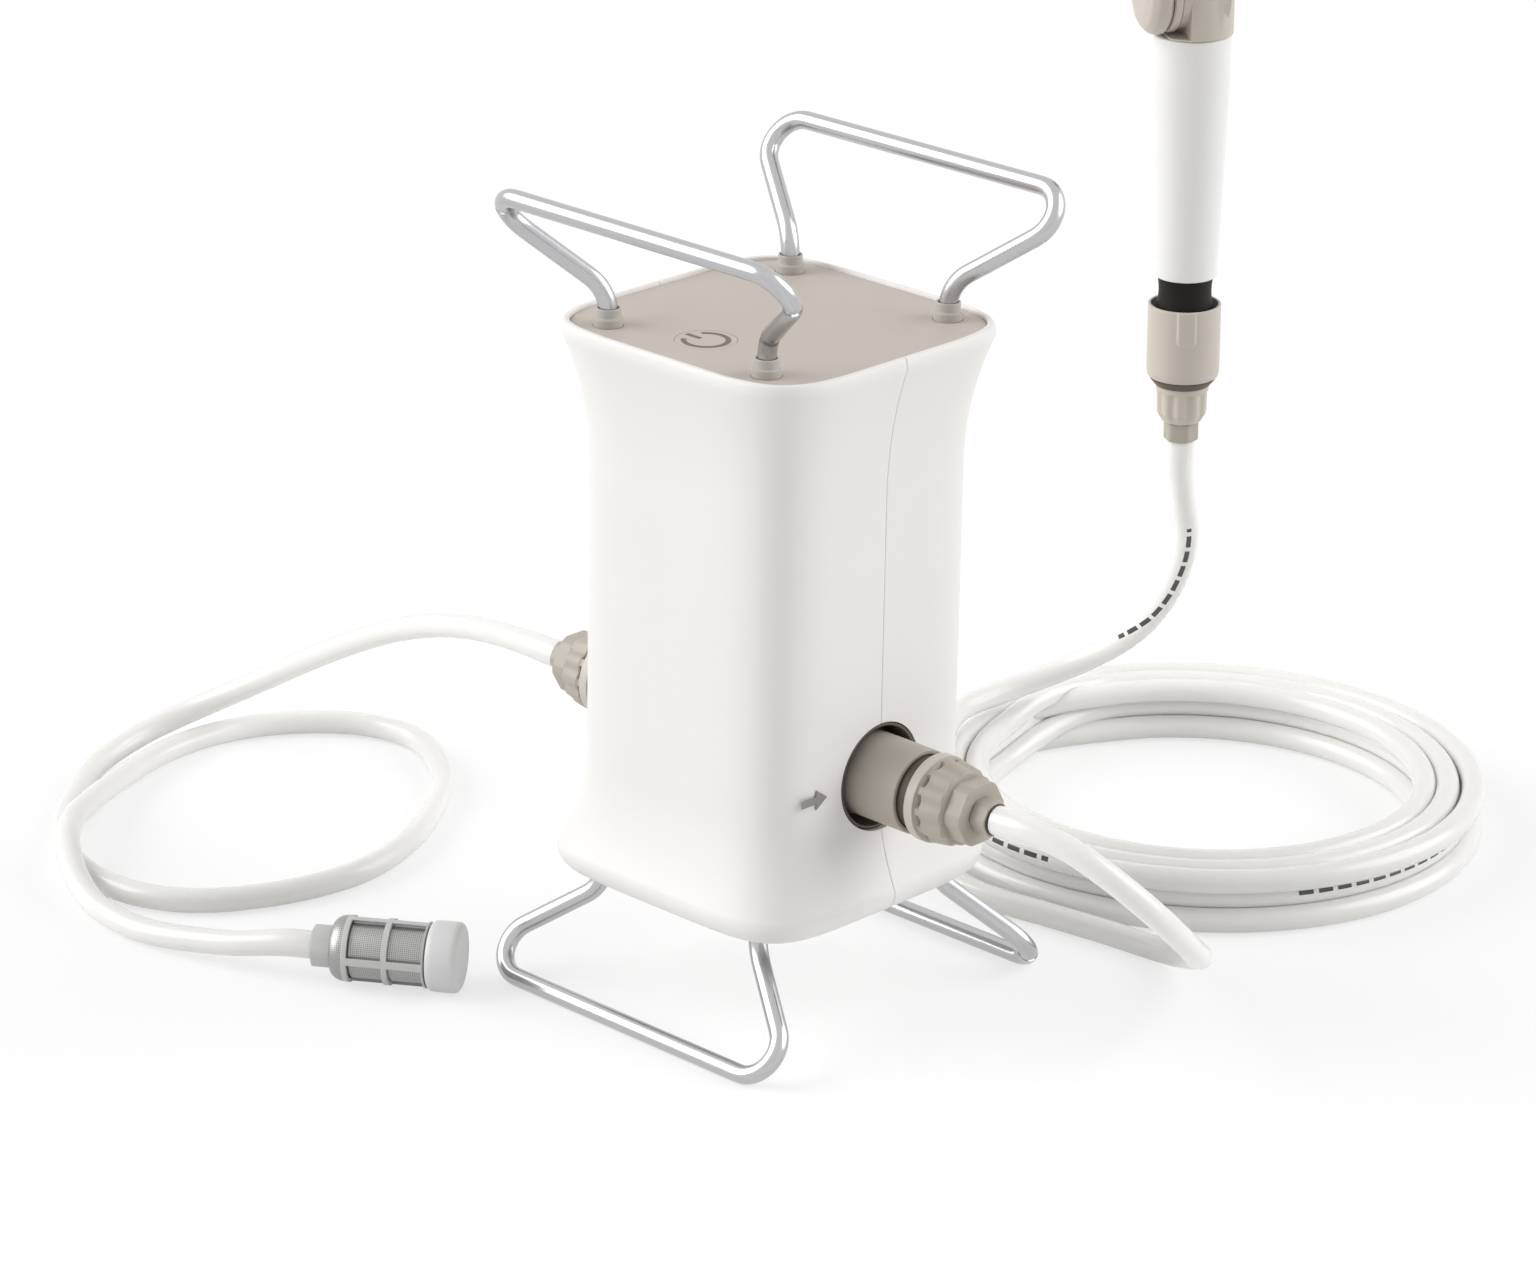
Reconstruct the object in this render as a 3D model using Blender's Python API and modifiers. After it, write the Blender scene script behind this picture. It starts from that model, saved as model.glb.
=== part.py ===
"""Camping shower: a rechargeable pump in a square, waisted body on wire stands.

A suction hose with a strainer lies on one side, and a coiled hose with an upright handset
lies behind. The body's axis is local X = Y = 0, and the floor is Z = 0.
"""

import math

import bmesh
import bpy
from mathutils import Matrix, Quaternion, Vector

# Shared clearances and the offset that centres the whole object over the origin
GAP = 0.0003
BODY_OFFSET_Y = -0.0993

# Body section: a superellipse whose half width changes with height
SECTION_POWER = 5.4
BASE_OPENING_POWER = 6.5
WAIST_HALF = 0.0628
TOP_RIM_HALF = 0.0723
FOOT_RIM_HALF = 0.0730
WALL = 0.0030
FOOT_Z = 0.0520
FOOT_WIDEST_Z = 0.0610
LOWER_FLARE_END_Z = 0.0990
UPPER_FLARE_START_Z = 0.2340
RIM_WIDEST_Z = 0.2915
RIM_TOP_Z = 0.2965
FOOT_EDGE_HALF = 0.0665
RIM_EDGE_HALF = 0.0706
LOWER_FLARE_POWER = 1.65
UPPER_FLARE_POWER = 2.1
HALF_SECTION_STEPS = 16
LARGE_SIDES = 20
ROUND_SIDES = 16
SMALL_SIDES = 12

# Plates that close the body
PLATE_THICK = 0.0030
TOP_PLATE_HALF = 0.0690
TOP_PLATE_Z = 0.2920
LEDGE_HALF = 0.0652
BASE_PLATE_HALF = 0.0632
BASE_PLATE_Z = 0.0580
FOOT_LEDGE_Z = 0.0660
SOCKET_RADIUS = 0.0060

# Wire handles and stands
WIRE_RADIUS = 0.0040
POST_X = 0.0452
POST_Y = 0.0541
BAR_HALF = 0.0988
BAR_Y = 0.0860
HANDLE_BAR_Z = 0.3505
HANDLE_KNEE_Z = 0.3100
HANDLE_END_Z = 0.2730
STAND_BAR_Z = 0.0040
STAND_KNEE_Z = 0.0440
STAND_END_Z = 0.0765
KNEE_RADIUS = 0.0180
CORNER_RADIUS = 0.0130
FERRULE_RADIUS = 0.0063
FERRULE_NECK_RADIUS = 0.0053
FERRULE_STEP = 0.0040
FERRULE_HEIGHT = 0.0080
COLLAR_HEIGHT = 0.0070
FERRULE_BORE = 0.0045
SEAT_DEPTH = 0.0006

# Hose ports on the +X and -X faces
PORT_Z = 0.1110
CUP_RADIUS = 0.0231
CUP_BORE = 0.0218
CUP_DEPTH = 0.0190
CUP_MOUTH = -0.0004
SPIGOT_ROOT = -0.0280
SPIGOT_TIP = 0.0220
SPIGOT_RADIUS = 0.0120
SPIGOT_BORE = 0.0060
SLEEVE_RADIUS = 0.0183
SLEEVE_BORE = 0.0162
SLEEVE_REACH = 0.0243
FLANGE_START = 0.0305
TAIL_END = 0.0652

# Hose
HOSE_RADIUS = 0.0055
HOSE_POINT_SPACING = 0.0320
COIL_CENTRE = (0.0220, 0.2630)
COIL_INNER = 0.0970
COIL_OUTER = 0.1300
COIL_TOP = 0.0318
OUTLET_ROUTE = (
    (0.1284, 0.0000, 0.1110), (0.1460, 0.0012, 0.1108), (0.1626, 0.0057, 0.1068),
    (0.1763, 0.0126, 0.0981), (0.1856, 0.0224, 0.0868), (0.1899, 0.0343, 0.0746),
    (0.1893, 0.0473, 0.0627), (0.1847, 0.0607, 0.0521), (0.1772, 0.0739, 0.0431),
    (0.1680, 0.0868, 0.0352), (0.1580, 0.0995, 0.0279), (0.1475, 0.1117, 0.0206),
    (0.1350, 0.1219, 0.0134), (0.1196, 0.1283, 0.0079), (0.1022, 0.1299, 0.0060),
    (0.0846, 0.1284, 0.0060), (0.0670, 0.1261, 0.0060), (0.0495, 0.1235, 0.0060),
    (0.0321, 0.1206, 0.0060), (0.0144, 0.1193, 0.0060), (-0.0031, 0.1213, 0.0060),
    (-0.0201, 0.1263, 0.0060), (-0.0362, 0.1335, 0.0060), (-0.0515, 0.1424, 0.0060),
    (-0.0655, 0.1532, 0.0060), (-0.0781, 0.1657, 0.0060), (-0.0889, 0.1796, 0.0060),
    (-0.0979, 0.1949, 0.0060), (-0.1046, 0.2112, 0.0060), (-0.1097, 0.2282, 0.0060),
)
RISER_ROUTE = (
    (-0.0841, 0.2143, 0.0376), (-0.0860, 0.2290, 0.0379), (-0.0845, 0.2437, 0.0387),
    (-0.0802, 0.2577, 0.0410), (-0.0727, 0.2696, 0.0453), (-0.0628, 0.2785, 0.0517),
    (-0.0516, 0.2838, 0.0599), (-0.0406, 0.2859, 0.0695), (-0.0306, 0.2865, 0.0804),
    (-0.0221, 0.2864, 0.0926), (-0.0152, 0.2858, 0.1057), (-0.0096, 0.2837, 0.1193),
    (-0.0057, 0.2797, 0.1330), (-0.0042, 0.2745, 0.1468), (-0.0047, 0.2714, 0.1640),
    (-0.00485, 0.2712, 0.1779),
)
INLET_ROUTE = (
    (-0.1284, 0.0000, 0.1110), (-0.1454, 0.0003, 0.1108), (-0.1624, 0.0018, 0.1096),
    (-0.1791, 0.0039, 0.1074), (-0.1957, 0.0060, 0.1040), (-0.2121, 0.0078, 0.0997),
    (-0.2282, 0.0093, 0.0943), (-0.2441, 0.0105, 0.0882), (-0.2596, 0.0113, 0.0812),
    (-0.2748, 0.0118, 0.0735), (-0.2899, 0.0120, 0.0655), (-0.3047, 0.0120, 0.0571),
    (-0.3194, 0.0114, 0.0485), (-0.3339, 0.0092, 0.0397), (-0.3480, 0.0052, 0.0311),
    (-0.3609, -0.0022, 0.0229), (-0.3712, -0.0136, 0.0159), (-0.3763, -0.0290, 0.0110),
    (-0.3757, -0.0457, 0.0081), (-0.3712, -0.0621, 0.0066), (-0.3634, -0.0771, 0.0060),
    (-0.3531, -0.0907, 0.0060), (-0.3424, -0.1039, 0.0060), (-0.3312, -0.1168, 0.0060),
    (-0.3188, -0.1285, 0.0060), (-0.3048, -0.1382, 0.0060), (-0.2896, -0.1458, 0.0060),
    (-0.2731, -0.1501, 0.0060), (-0.2561, -0.1510, 0.0060), (-0.2395, -0.1475, 0.0060),
    (-0.2246, -0.1395, 0.0060), (-0.2127, -0.1274, 0.0060), (-0.2041, -0.1127, 0.0060),
    (-0.1977, -0.0969, 0.0060), (-0.1939, -0.0804, 0.0060), (-0.1927, -0.0634, 0.0060),
    (-0.1950, -0.0465, 0.0060), (-0.2002, -0.0303, 0.0060), (-0.2073, -0.0148, 0.0060),
    (-0.2159, -0.0001, 0.0060), (-0.2255, 0.0139, 0.0060), (-0.2362, 0.0273, 0.0060),
    (-0.2480, 0.0395, 0.0060), (-0.2615, 0.0498, 0.0060), (-0.2766, 0.0578, 0.0060),
    (-0.2929, 0.0625, 0.0060), (-0.3097, 0.0610, 0.0060), (-0.3254, 0.0544, 0.0060),
    (-0.3384, 0.0435, 0.0060), (-0.3489, 0.0301, 0.0060), (-0.3566, 0.0150, 0.0060),
    (-0.3609, -0.0015, 0.0060), (-0.3620, -0.0185, 0.0059), (-0.3597, -0.0353, 0.0061),
    (-0.3549, -0.0517, 0.0065), (-0.3483, -0.0673, 0.0073), (-0.3406, -0.0824, 0.0090),
    (-0.3321, -0.0970, 0.0112), (-0.3228, -0.1112, 0.0135), (-0.3130, -0.1249, 0.0160),
    (-0.3019, -0.1377, 0.0177), (-0.2894, -0.1492, 0.0171), (-0.2755, -0.1587, 0.0145),
    (-0.2606, -0.1661, 0.0109), (-0.2447, -0.1713, 0.0079), (-0.2279, -0.1735, 0.0068),
    (-0.2109, -0.1732, 0.0067), (-0.1942, -0.1700, 0.0078), (-0.1778, -0.1655, 0.0097),
    (-0.1618, -0.1603, 0.0120), (-0.1424, -0.1506, 0.0157), (-0.1324, -0.1439, 0.0157),
)

# Strainer on the suction hose: it lies on the floor
STRAINER_START = (-0.1319, -0.1436)
STRAINER_DIRECTION = (0.8290, 0.5592, 0.0)
STRAINER_Z = 0.0157
STRAINER_CAP_RADIUS = 0.0153
STRAINER_CAGE_RADIUS = 0.0144
STRAINER_CAGE_BORE = 0.0126
STRAINER_CAP_START = 0.0514
STRAINER_LENGTH = 0.0655

# Handset: built upright, turned so that the head faces forward right, then leaned as a whole
HANDSET_X = -0.00485
HANDSET_Y = 0.2712
HANDSET_FOOT_Z = 0.1783
HANDSET_AXIS = (-0.01076, -0.01021, 0.99989)
HANDSET_YAW = math.radians(-32.0)
HANDSET_NUT_Z = 0.1873
HANDSET_COLLAR_Z = 0.2075
HANDSET_SLEEVE_Z = 0.2088
HANDSET_SLEEVE_TOP_Z = 0.2429
HANDSET_SLEEVE_RADIUS = 0.01645
HANDSET_SLEEVE_BORE = 0.0151
GRIP_Z = 0.2560
GRIP_TOP_Z = 0.3678
GRIP_FOOT_RADIUS = 0.0141
GRIP_TOP_RADIUS = 0.0175
PIVOT_Z = 0.3880
KNOB_SEAT_Z = 0.3690
KNOB_SEAT_REACH = 0.0062
KNOB_RELIEF_REACH = 0.0139
PIVOT_PIN_RADIUS = 0.0040
CHEEK_RADIUS = 0.0174
CHEEK_FAR = -0.0122
CHEEK_NEAR = 0.0100
TONGUE_RADIUS = 0.0140
TONGUE_HALF = 0.0040
NECK_RADIUS = 0.0038
HEAD_FORWARD = 0.0380
HEAD_RISE = 0.0580
HEAD_RADIUS = 0.0390
HEAD_DEPTH = 0.0220
HEAD_DROP = math.radians(20.0)

# Pump, battery and board inside the body
PUMP_RADIUS = 0.0260
PUMP_Z = 0.0980
PUMP_HEIGHT = 0.0240
PEDESTAL_RADIUS = 0.0190
MOTOR_RADIUS = 0.0175
MOTOR_Z = 0.1255
MOTOR_HEIGHT = 0.0450
SHAFT_RADIUS = 0.0015
BULKHEAD_Z = 0.1760
BULKHEAD_HALF = 0.0590
CELL_RADIUS = 0.0092
CELL_HEIGHT = 0.0650
CELL_PITCH = 0.0200
CELL_COUNT = 4
TRAY_HEIGHT = 0.0060
TIE_X = 0.0300
TIE_Y = 0.0420
TIE_RADIUS = 0.0020

# Controls on the top plate and the charging socket in the rear face
BUTTON_X = -0.0035
BUTTON_Y = -0.0392
BUTTON_RADIUS = 0.0130
SWITCH_TOP_Z = 0.2850
CHARGE_Z = 0.1950
FLAP_WIDTH = 0.0200
FLAP_HEIGHT = 0.0120
FLAP_THICK = 0.0015

X_AXIS = Vector((1, 0, 0))
Z_AXIS = Vector((0, 0, 1))


def clear_scene():
    """Remove every object of the scene that the file opened with"""
    for scene_object in list(bpy.data.objects):
        bpy.data.objects.remove(scene_object, do_unlink=True)


def new_collection(name):
    """Make a collection and link it to the scene"""
    collection = bpy.data.collections.new(name)
    bpy.context.scene.collection.children.link(collection)
    return collection


def material(name, color, roughness, metallic=0.0, alpha=1.0):
    """Make one Principled material, or return the one of that name"""
    existing = bpy.data.materials.get(name)
    if existing:
        return existing
    new = bpy.data.materials.new(name)
    new.use_nodes = True
    shader = new.node_tree.nodes["Principled BSDF"]
    shader.inputs["Base Color"].default_value = (*color, 1.0)
    shader.inputs["Roughness"].default_value = roughness
    shader.inputs["Metallic"].default_value = metallic
    shader.inputs["Alpha"].default_value = alpha
    return new


clear_scene()
PARTS = new_collection("camping_shower")
CUTTERS = new_collection("cutters")
ASSEMBLY = bpy.data.objects.new("assembly", None)
ASSEMBLY.location = (0.0, BODY_OFFSET_Y, 0.0)
PARTS.objects.link(ASSEMBLY)

SHELL_WHITE = material("shell_white", (0.86, 0.84, 0.81), 0.42)
PLATE_TAUPE = material("plate_taupe", (0.58, 0.53, 0.48), 0.55)
STEEL = material("brushed_steel", (0.62, 0.62, 0.63), 0.28, 1.0)
FERRULE_GREY = material("ferrule_grey", (0.66, 0.66, 0.66), 0.40)
FITTING_TAN = material("fitting_tan", (0.42, 0.39, 0.35), 0.50)
DARK_LINER = material("dark_liner", (0.06, 0.05, 0.045), 0.60)
RUBBER_BLACK = material("rubber_black", (0.02, 0.02, 0.02), 0.55)
HOSE_CLEAR = material("hose_translucent", (0.84, 0.82, 0.77), 0.25, 0.0, 0.8)
STRAINER_LIGHT = material("strainer_light", (0.70, 0.70, 0.70), 0.45)
STRAINER_MESH = material("strainer_mesh", (0.38, 0.38, 0.39), 0.50, 0.6)
GRIP_WHITE = material("grip_white", (0.85, 0.85, 0.84), 0.35)
MECHANISM_GREY = material("mechanism_grey", (0.30, 0.31, 0.33), 0.50)
COPPER_BOARD = material("board_green", (0.05, 0.22, 0.10), 0.50)
CELL_WRAP = material("cell_wrap", (0.10, 0.30, 0.55), 0.40)


def place(part, location=(0, 0, 0), direction=None, collection=None):
    """Put a new object at a place, with its local Z along a direction"""
    part.location = location
    if direction is not None:
        part.rotation_mode = "QUATERNION"
        part.rotation_quaternion = Z_AXIS.rotation_difference(Vector(direction))
    part.parent = ASSEMBLY
    (collection or PARTS).objects.link(part)
    return part


def mesh_object(name, bm, finish):
    """Turn a bmesh into an object with smooth round faces and sharp edges"""
    mesh = bpy.data.meshes.new(name)
    bmesh.ops.recalc_face_normals(bm, faces=bm.faces)
    bm.to_mesh(mesh)
    bm.free()
    mesh.shade_smooth()
    mesh.set_sharp_from_angle(angle=math.radians(35))
    if finish:
        mesh.materials.append(finish)
    return bpy.data.objects.new(name, mesh)


def cylinder(name, finish, radius, low, high, location=(0, 0, 0), direction=None,
             sides=ROUND_SIDES, top_radius=None, collection=None):
    """Make a straight or tapered cylinder between two distances along its own Z"""
    bm = bmesh.new()
    bmesh.ops.create_cone(bm, cap_ends=True, segments=sides, radius1=radius,
                          radius2=top_radius or radius, depth=high - low)
    bmesh.ops.translate(bm, verts=bm.verts, vec=(0, 0, (low + high) / 2))
    return place(mesh_object(name, bm, finish), location, direction, collection)


def box(name, finish, size, location, direction=None, collection=None, bevel=0.0):
    """Make a box of a full size about its centre"""
    bm = bmesh.new()
    bmesh.ops.create_cube(bm, size=1.0)
    bmesh.ops.scale(bm, verts=bm.verts, vec=size)
    part = place(mesh_object(name, bm, finish), location, direction, collection)
    if bevel:
        edges = part.modifiers.new("edges", "BEVEL")
        edges.width = bevel
        edges.segments = 1
    return part


def turned(name, finish, profile, location=(0, 0, 0), direction=None, sides=ROUND_SIDES,
           collection=None):
    """Turn a closed (radius, height) outline that runs down its outer side"""
    bm = bmesh.new()
    corners = [bm.verts.new((radius, 0, height)) for radius, height in profile]
    for first, second in zip(corners, corners[1:] + corners[:1]):
        bm.edges.new((first, second))
    mesh = bpy.data.meshes.new(name)
    bm.to_mesh(mesh)
    bm.free()
    if finish:
        mesh.materials.append(finish)
    part = place(bpy.data.objects.new(name, mesh), location, direction, collection)
    lathe = part.modifiers.new("lathe", "SCREW")
    lathe.steps = sides
    lathe.render_steps = sides
    lathe.use_merge_vertices = True
    lathe.merge_threshold = 0.00001
    return part


def ring(radius, bore, low, high, chamfer=0.0):
    """Outline of a plain ring, with an optional chamfer on its outer edges"""
    if not chamfer:
        return [(radius, high), (radius, low), (bore, low), (bore, high)]
    return [(radius - chamfer, high), (radius, high - chamfer), (radius, low + chamfer),
            (radius - chamfer, low), (bore, low), (bore, high)]


def hide_cutter(cutter):
    """Show a cutter as wire only"""
    cutter.hide_render = True
    cutter.display_type = "WIRE"
    return cutter


def combine(part, other, operation):
    """Cut, join or keep the common volume of a part and a hidden helper"""
    step = part.modifiers.new(operation.lower(), "BOOLEAN")
    step.operation = operation
    step.object = hide_cutter(other)
    return part


def drill(part, radius, low, high, location, direction=None, sides=SMALL_SIDES):
    """Cut a round hole"""
    tool = cylinder(part.name + "_hole", None, radius, low, high, location, direction,
                    sides, collection=CUTTERS)
    return combine(part, tool, "DIFFERENCE")


def grouped_cylinders(name, radius, low, high, places, sides=SMALL_SIDES):
    """Several upright cylinders in one helper object"""
    bm = bmesh.new()
    for x, y in places:
        made = bmesh.ops.create_cone(bm, cap_ends=True, segments=sides, radius1=radius,
                                     radius2=radius, depth=high - low)
        bmesh.ops.translate(bm, verts=made["verts"], vec=(x, y, (low + high) / 2))
    return place(mesh_object(name, bm, None), collection=CUTTERS)


def signed_power(value, power):
    """Power that keeps the sign of its base"""
    return math.copysign(abs(value) ** power, value)


def section_point(half, power, angle):
    """Point of a superellipse at a parameter angle"""
    return (half * signed_power(math.cos(angle), 2 / power),
            half * signed_power(math.sin(angle), 2 / power))


def outer_half(z):
    """Outer half width of the body at a height between its two rounded edges"""
    if z < LOWER_FLARE_END_Z:
        reach = (LOWER_FLARE_END_Z - z) / (LOWER_FLARE_END_Z - FOOT_WIDEST_Z)
        return WAIST_HALF + (FOOT_RIM_HALF - WAIST_HALF) * reach ** LOWER_FLARE_POWER
    if z > UPPER_FLARE_START_Z:
        reach = (z - UPPER_FLARE_START_Z) / (RIM_WIDEST_Z - UPPER_FLARE_START_Z)
        return WAIST_HALF + (TOP_RIM_HALF - WAIST_HALF) * reach ** UPPER_FLARE_POWER
    return WAIST_HALF


def shell_levels():
    """Closed outline of the wall as (height, half width, section power)"""
    levels = []
    for step in range(3):
        angle = math.pi / 2 * (1 - step / 3)
        half = FOOT_EDGE_HALF + (FOOT_RIM_HALF - FOOT_EDGE_HALF) * math.cos(angle)
        z = FOOT_WIDEST_Z - (FOOT_WIDEST_Z - FOOT_Z) * math.sin(angle)
        levels.append((z, half, SECTION_POWER))
    for step in range(5):
        z = FOOT_WIDEST_Z + (LOWER_FLARE_END_Z - FOOT_WIDEST_Z) * step / 4
        levels.append((z, outer_half(z), SECTION_POWER))
    for step in range(6):
        z = UPPER_FLARE_START_Z + (RIM_WIDEST_Z - UPPER_FLARE_START_Z) * step / 5
        levels.append((z, outer_half(z), SECTION_POWER))
    for step in range(1, 3):
        angle = math.pi / 2 * step / 2
        half = RIM_EDGE_HALF + (TOP_RIM_HALF - RIM_EDGE_HALF) * math.cos(angle)
        z = RIM_WIDEST_Z + (RIM_TOP_Z - RIM_WIDEST_Z) * math.sin(angle)
        levels.append((z, half, SECTION_POWER))
    opening = TOP_PLATE_HALF + GAP
    seat = TOP_PLATE_Z - GAP
    levels += [(RIM_TOP_Z, opening, SECTION_POWER), (seat, opening, SECTION_POWER),
               (seat, LEDGE_HALF, SECTION_POWER), (seat - WALL, LEDGE_HALF, SECTION_POWER)]
    for z in (seat - WALL, 0.2650, UPPER_FLARE_START_Z, LOWER_FLARE_END_Z, 0.0800,
              FOOT_LEDGE_Z):
        levels.append((z, outer_half(z) - WALL, SECTION_POWER))
    base_opening = BASE_PLATE_HALF + GAP
    levels += [(FOOT_LEDGE_Z, base_opening, BASE_OPENING_POWER),
               (FOOT_Z, base_opening, BASE_OPENING_POWER)]
    return levels


def shell_half(name, side):
    """Loft one clamshell half from the wall outline, closed at the seam"""
    bm = bmesh.new()
    rows = []
    for z, half, power in shell_levels():
        row = []
        for step in range(HALF_SECTION_STEPS + 1):
            x, y = section_point(half, power, math.pi * step / HALF_SECTION_STEPS)
            row.append(bm.verts.new((x, side * max(y, GAP / 2), z)))
        rows.append(row)
    for low, high in zip(rows, rows[1:] + rows[:1]):
        for step in range(HALF_SECTION_STEPS):
            bm.faces.new((low[step], low[step + 1], high[step + 1], high[step]))
    bm.faces.new([row[0] for row in rows])
    bm.faces.new([row[-1] for row in rows])
    shell = place(mesh_object(name, bm, SHELL_WHITE))
    drill(shell, CUP_RADIUS + 2 * GAP, -0.1, 0.1, (0, 0, PORT_Z), X_AXIS, LARGE_SIDES)
    return shell


def square_plate(name, finish, half, power, low, high, steps=32):
    """Flat plate with the body's squarish outline"""
    bm = bmesh.new()
    outline = [section_point(half, power, 2 * math.pi * step / steps) for step in range(steps)]
    face = bm.faces.new([bm.verts.new((x, y, low)) for x, y in outline])
    raised = bmesh.ops.extrude_face_region(bm, geom=[face])["geom"]
    lifted = [item for item in raised if isinstance(item, bmesh.types.BMVert)]
    bmesh.ops.translate(bm, verts=lifted, vec=(0, 0, high - low))
    return place(mesh_object(name, bm, finish))


def post_places():
    """Places of the four wire posts in plan"""
    return [(x, y) for y in (-POST_Y, POST_Y) for x in (-POST_X, POST_X)]


def body():
    """Two shell halves, the top plate and the base plate"""
    shell_half("shell_front", -1)
    rear = shell_half("shell_rear", 1)
    pocket = box("charge_pocket", None,
                 (FLAP_WIDTH + 2 * GAP, 0.0042, FLAP_HEIGHT + 2 * GAP),
                 (0, WAIST_HALF + 0.0003, CHARGE_Z), collection=CUTTERS)
    combine(rear, pocket, "DIFFERENCE")
    window = box("charge_window", None, (0.0102, 0.0200, 0.0046), (0, WAIST_HALF, CHARGE_Z),
                 collection=CUTTERS)
    combine(rear, window, "DIFFERENCE")

    top = square_plate("top_plate", PLATE_TAUPE, TOP_PLATE_HALF, SECTION_POWER, TOP_PLATE_Z,
                       TOP_PLATE_Z + PLATE_THICK)
    sockets = grouped_cylinders("top_sockets", SOCKET_RADIUS, HANDLE_END_Z - 0.0025,
                                TOP_PLATE_Z + 0.0010, post_places())
    combine(top, sockets, "UNION")
    bores = grouped_cylinders("top_bores", FERRULE_BORE, HANDLE_END_Z - GAP,
                              TOP_PLATE_Z + 0.0100, post_places())
    combine(top, bores, "DIFFERENCE")
    seats = grouped_cylinders("ferrule_seats", FERRULE_RADIUS + GAP,
                              TOP_PLATE_Z + PLATE_THICK - SEAT_DEPTH,
                              TOP_PLATE_Z + 0.0100, post_places())
    combine(top, seats, "DIFFERENCE")
    ties = grouped_cylinders("top_tie_bosses", 0.0045, TOP_PLATE_Z - 0.0120,
                             TOP_PLATE_Z + 0.0010, tie_places())
    combine(top, ties, "UNION")
    tie_bores = grouped_cylinders("top_tie_bores", TIE_RADIUS + GAP, TOP_PLATE_Z - 0.0200,
                                  TOP_PLATE_Z - 0.0007, tie_places())
    combine(top, tie_bores, "DIFFERENCE")
    drill(top, BUTTON_RADIUS + GAP, -0.0100, 0.0100, (BUTTON_X, BUTTON_Y, TOP_PLATE_Z),
          sides=LARGE_SIDES)

    base = square_plate("base_plate", SHELL_WHITE, BASE_PLATE_HALF, BASE_OPENING_POWER,
                        BASE_PLATE_Z, BASE_PLATE_Z + PLATE_THICK)
    sockets = grouped_cylinders("base_sockets", SOCKET_RADIUS, BASE_PLATE_Z + 0.0010,
                                STAND_END_Z + 0.0022, post_places())
    combine(base, sockets, "UNION")
    collars = grouped_cylinders("base_collars", FERRULE_RADIUS, BASE_PLATE_Z - COLLAR_HEIGHT,
                                BASE_PLATE_Z + 0.0010, post_places())
    combine(base, collars, "UNION")
    bores = grouped_cylinders("base_bores", FERRULE_BORE, BASE_PLATE_Z - 0.0200,
                              STAND_END_Z + GAP, post_places())
    combine(base, bores, "DIFFERENCE")
    tie_bores = grouped_cylinders("base_tie_bores", TIE_RADIUS + GAP, BASE_PLATE_Z - 0.0100,
                                  BASE_PLATE_Z + 0.0100, tie_places())
    combine(base, tie_bores, "DIFFERENCE")


def tie_places():
    """Places of the two long screws in plan"""
    return [(TIE_X, -TIE_Y), (-TIE_X, TIE_Y)]


def filleted(corners, radii, steps=5):
    """Polyline whose inner corners are rounded with arcs of the given radii"""
    points = [Vector(corners[0])]
    for before, corner, after, radius in zip(corners, corners[1:], corners[2:], radii):
        corner = Vector(corner)
        back = (Vector(before) - corner).normalized()
        ahead = (Vector(after) - corner).normalized()
        half_angle = back.angle(ahead) / 2
        setback = radius / math.tan(half_angle)
        centre = corner + (back + ahead).normalized() * radius / math.sin(half_angle)
        start = corner + back * setback - centre
        end = corner + ahead * setback - centre
        for step in range(steps + 1):
            points.append(centre + start.slerp(end, step / steps).normalized() * radius)
    points.append(Vector(corners[-1]))
    return points


def bevel_curve(name, finish, points, radius, resolution):
    """Round tube or wire along a polyline, with filled ends"""
    curve = bpy.data.curves.new(name, "CURVE")
    curve.dimensions = "3D"
    curve.bevel_depth = radius
    curve.bevel_resolution = resolution
    curve.use_fill_caps = True
    spline = curve.splines.new("POLY")
    spline.points.add(len(points) - 1)
    for target, point in zip(spline.points, points):
        target.co = (*point, 1.0)
    curve.materials.append(finish)
    return place(bpy.data.objects.new(name, curve))


def wire_loop(name, side, end_z, knee_z, bar_z):
    """One bent wire: two posts, two splayed legs and the bar that joins them"""
    corners = [(-POST_X, side * POST_Y, end_z), (-POST_X, side * POST_Y, knee_z),
               (-BAR_HALF, side * BAR_Y, bar_z), (BAR_HALF, side * BAR_Y, bar_z),
               (POST_X, side * POST_Y, knee_z), (POST_X, side * POST_Y, end_z)]
    radii = (KNEE_RADIUS, CORNER_RADIUS, CORNER_RADIUS, KNEE_RADIUS)
    bevel_curve(name, STEEL, filleted(corners, radii), WIRE_RADIUS, 2)


def wires():
    """Handles, stands and the ferrules where the handles enter the top plate"""
    wire_loop("handle_loop_front", -1, HANDLE_END_Z, HANDLE_KNEE_Z, HANDLE_BAR_Z)
    wire_loop("handle_loop_rear", 1, HANDLE_END_Z, HANDLE_KNEE_Z, HANDLE_BAR_Z)
    wire_loop("stand_loop_front", -1, STAND_END_Z, STAND_KNEE_Z, STAND_BAR_Z)
    wire_loop("stand_loop_rear", 1, STAND_END_Z, STAND_KNEE_Z, STAND_BAR_Z)
    top = TOP_PLATE_Z + PLATE_THICK - SEAT_DEPTH + GAP
    for number, (x, y) in enumerate(post_places(), start=1):
        turned(f"handle_ferrule_{number}", FERRULE_GREY,
               [(FERRULE_NECK_RADIUS, FERRULE_HEIGHT), (FERRULE_NECK_RADIUS, FERRULE_STEP),
                (FERRULE_RADIUS, FERRULE_STEP), (FERRULE_RADIUS, 0), (FERRULE_BORE, 0),
                (FERRULE_BORE, FERRULE_HEIGHT)], (x, y, top), sides=SMALL_SIDES)


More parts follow.
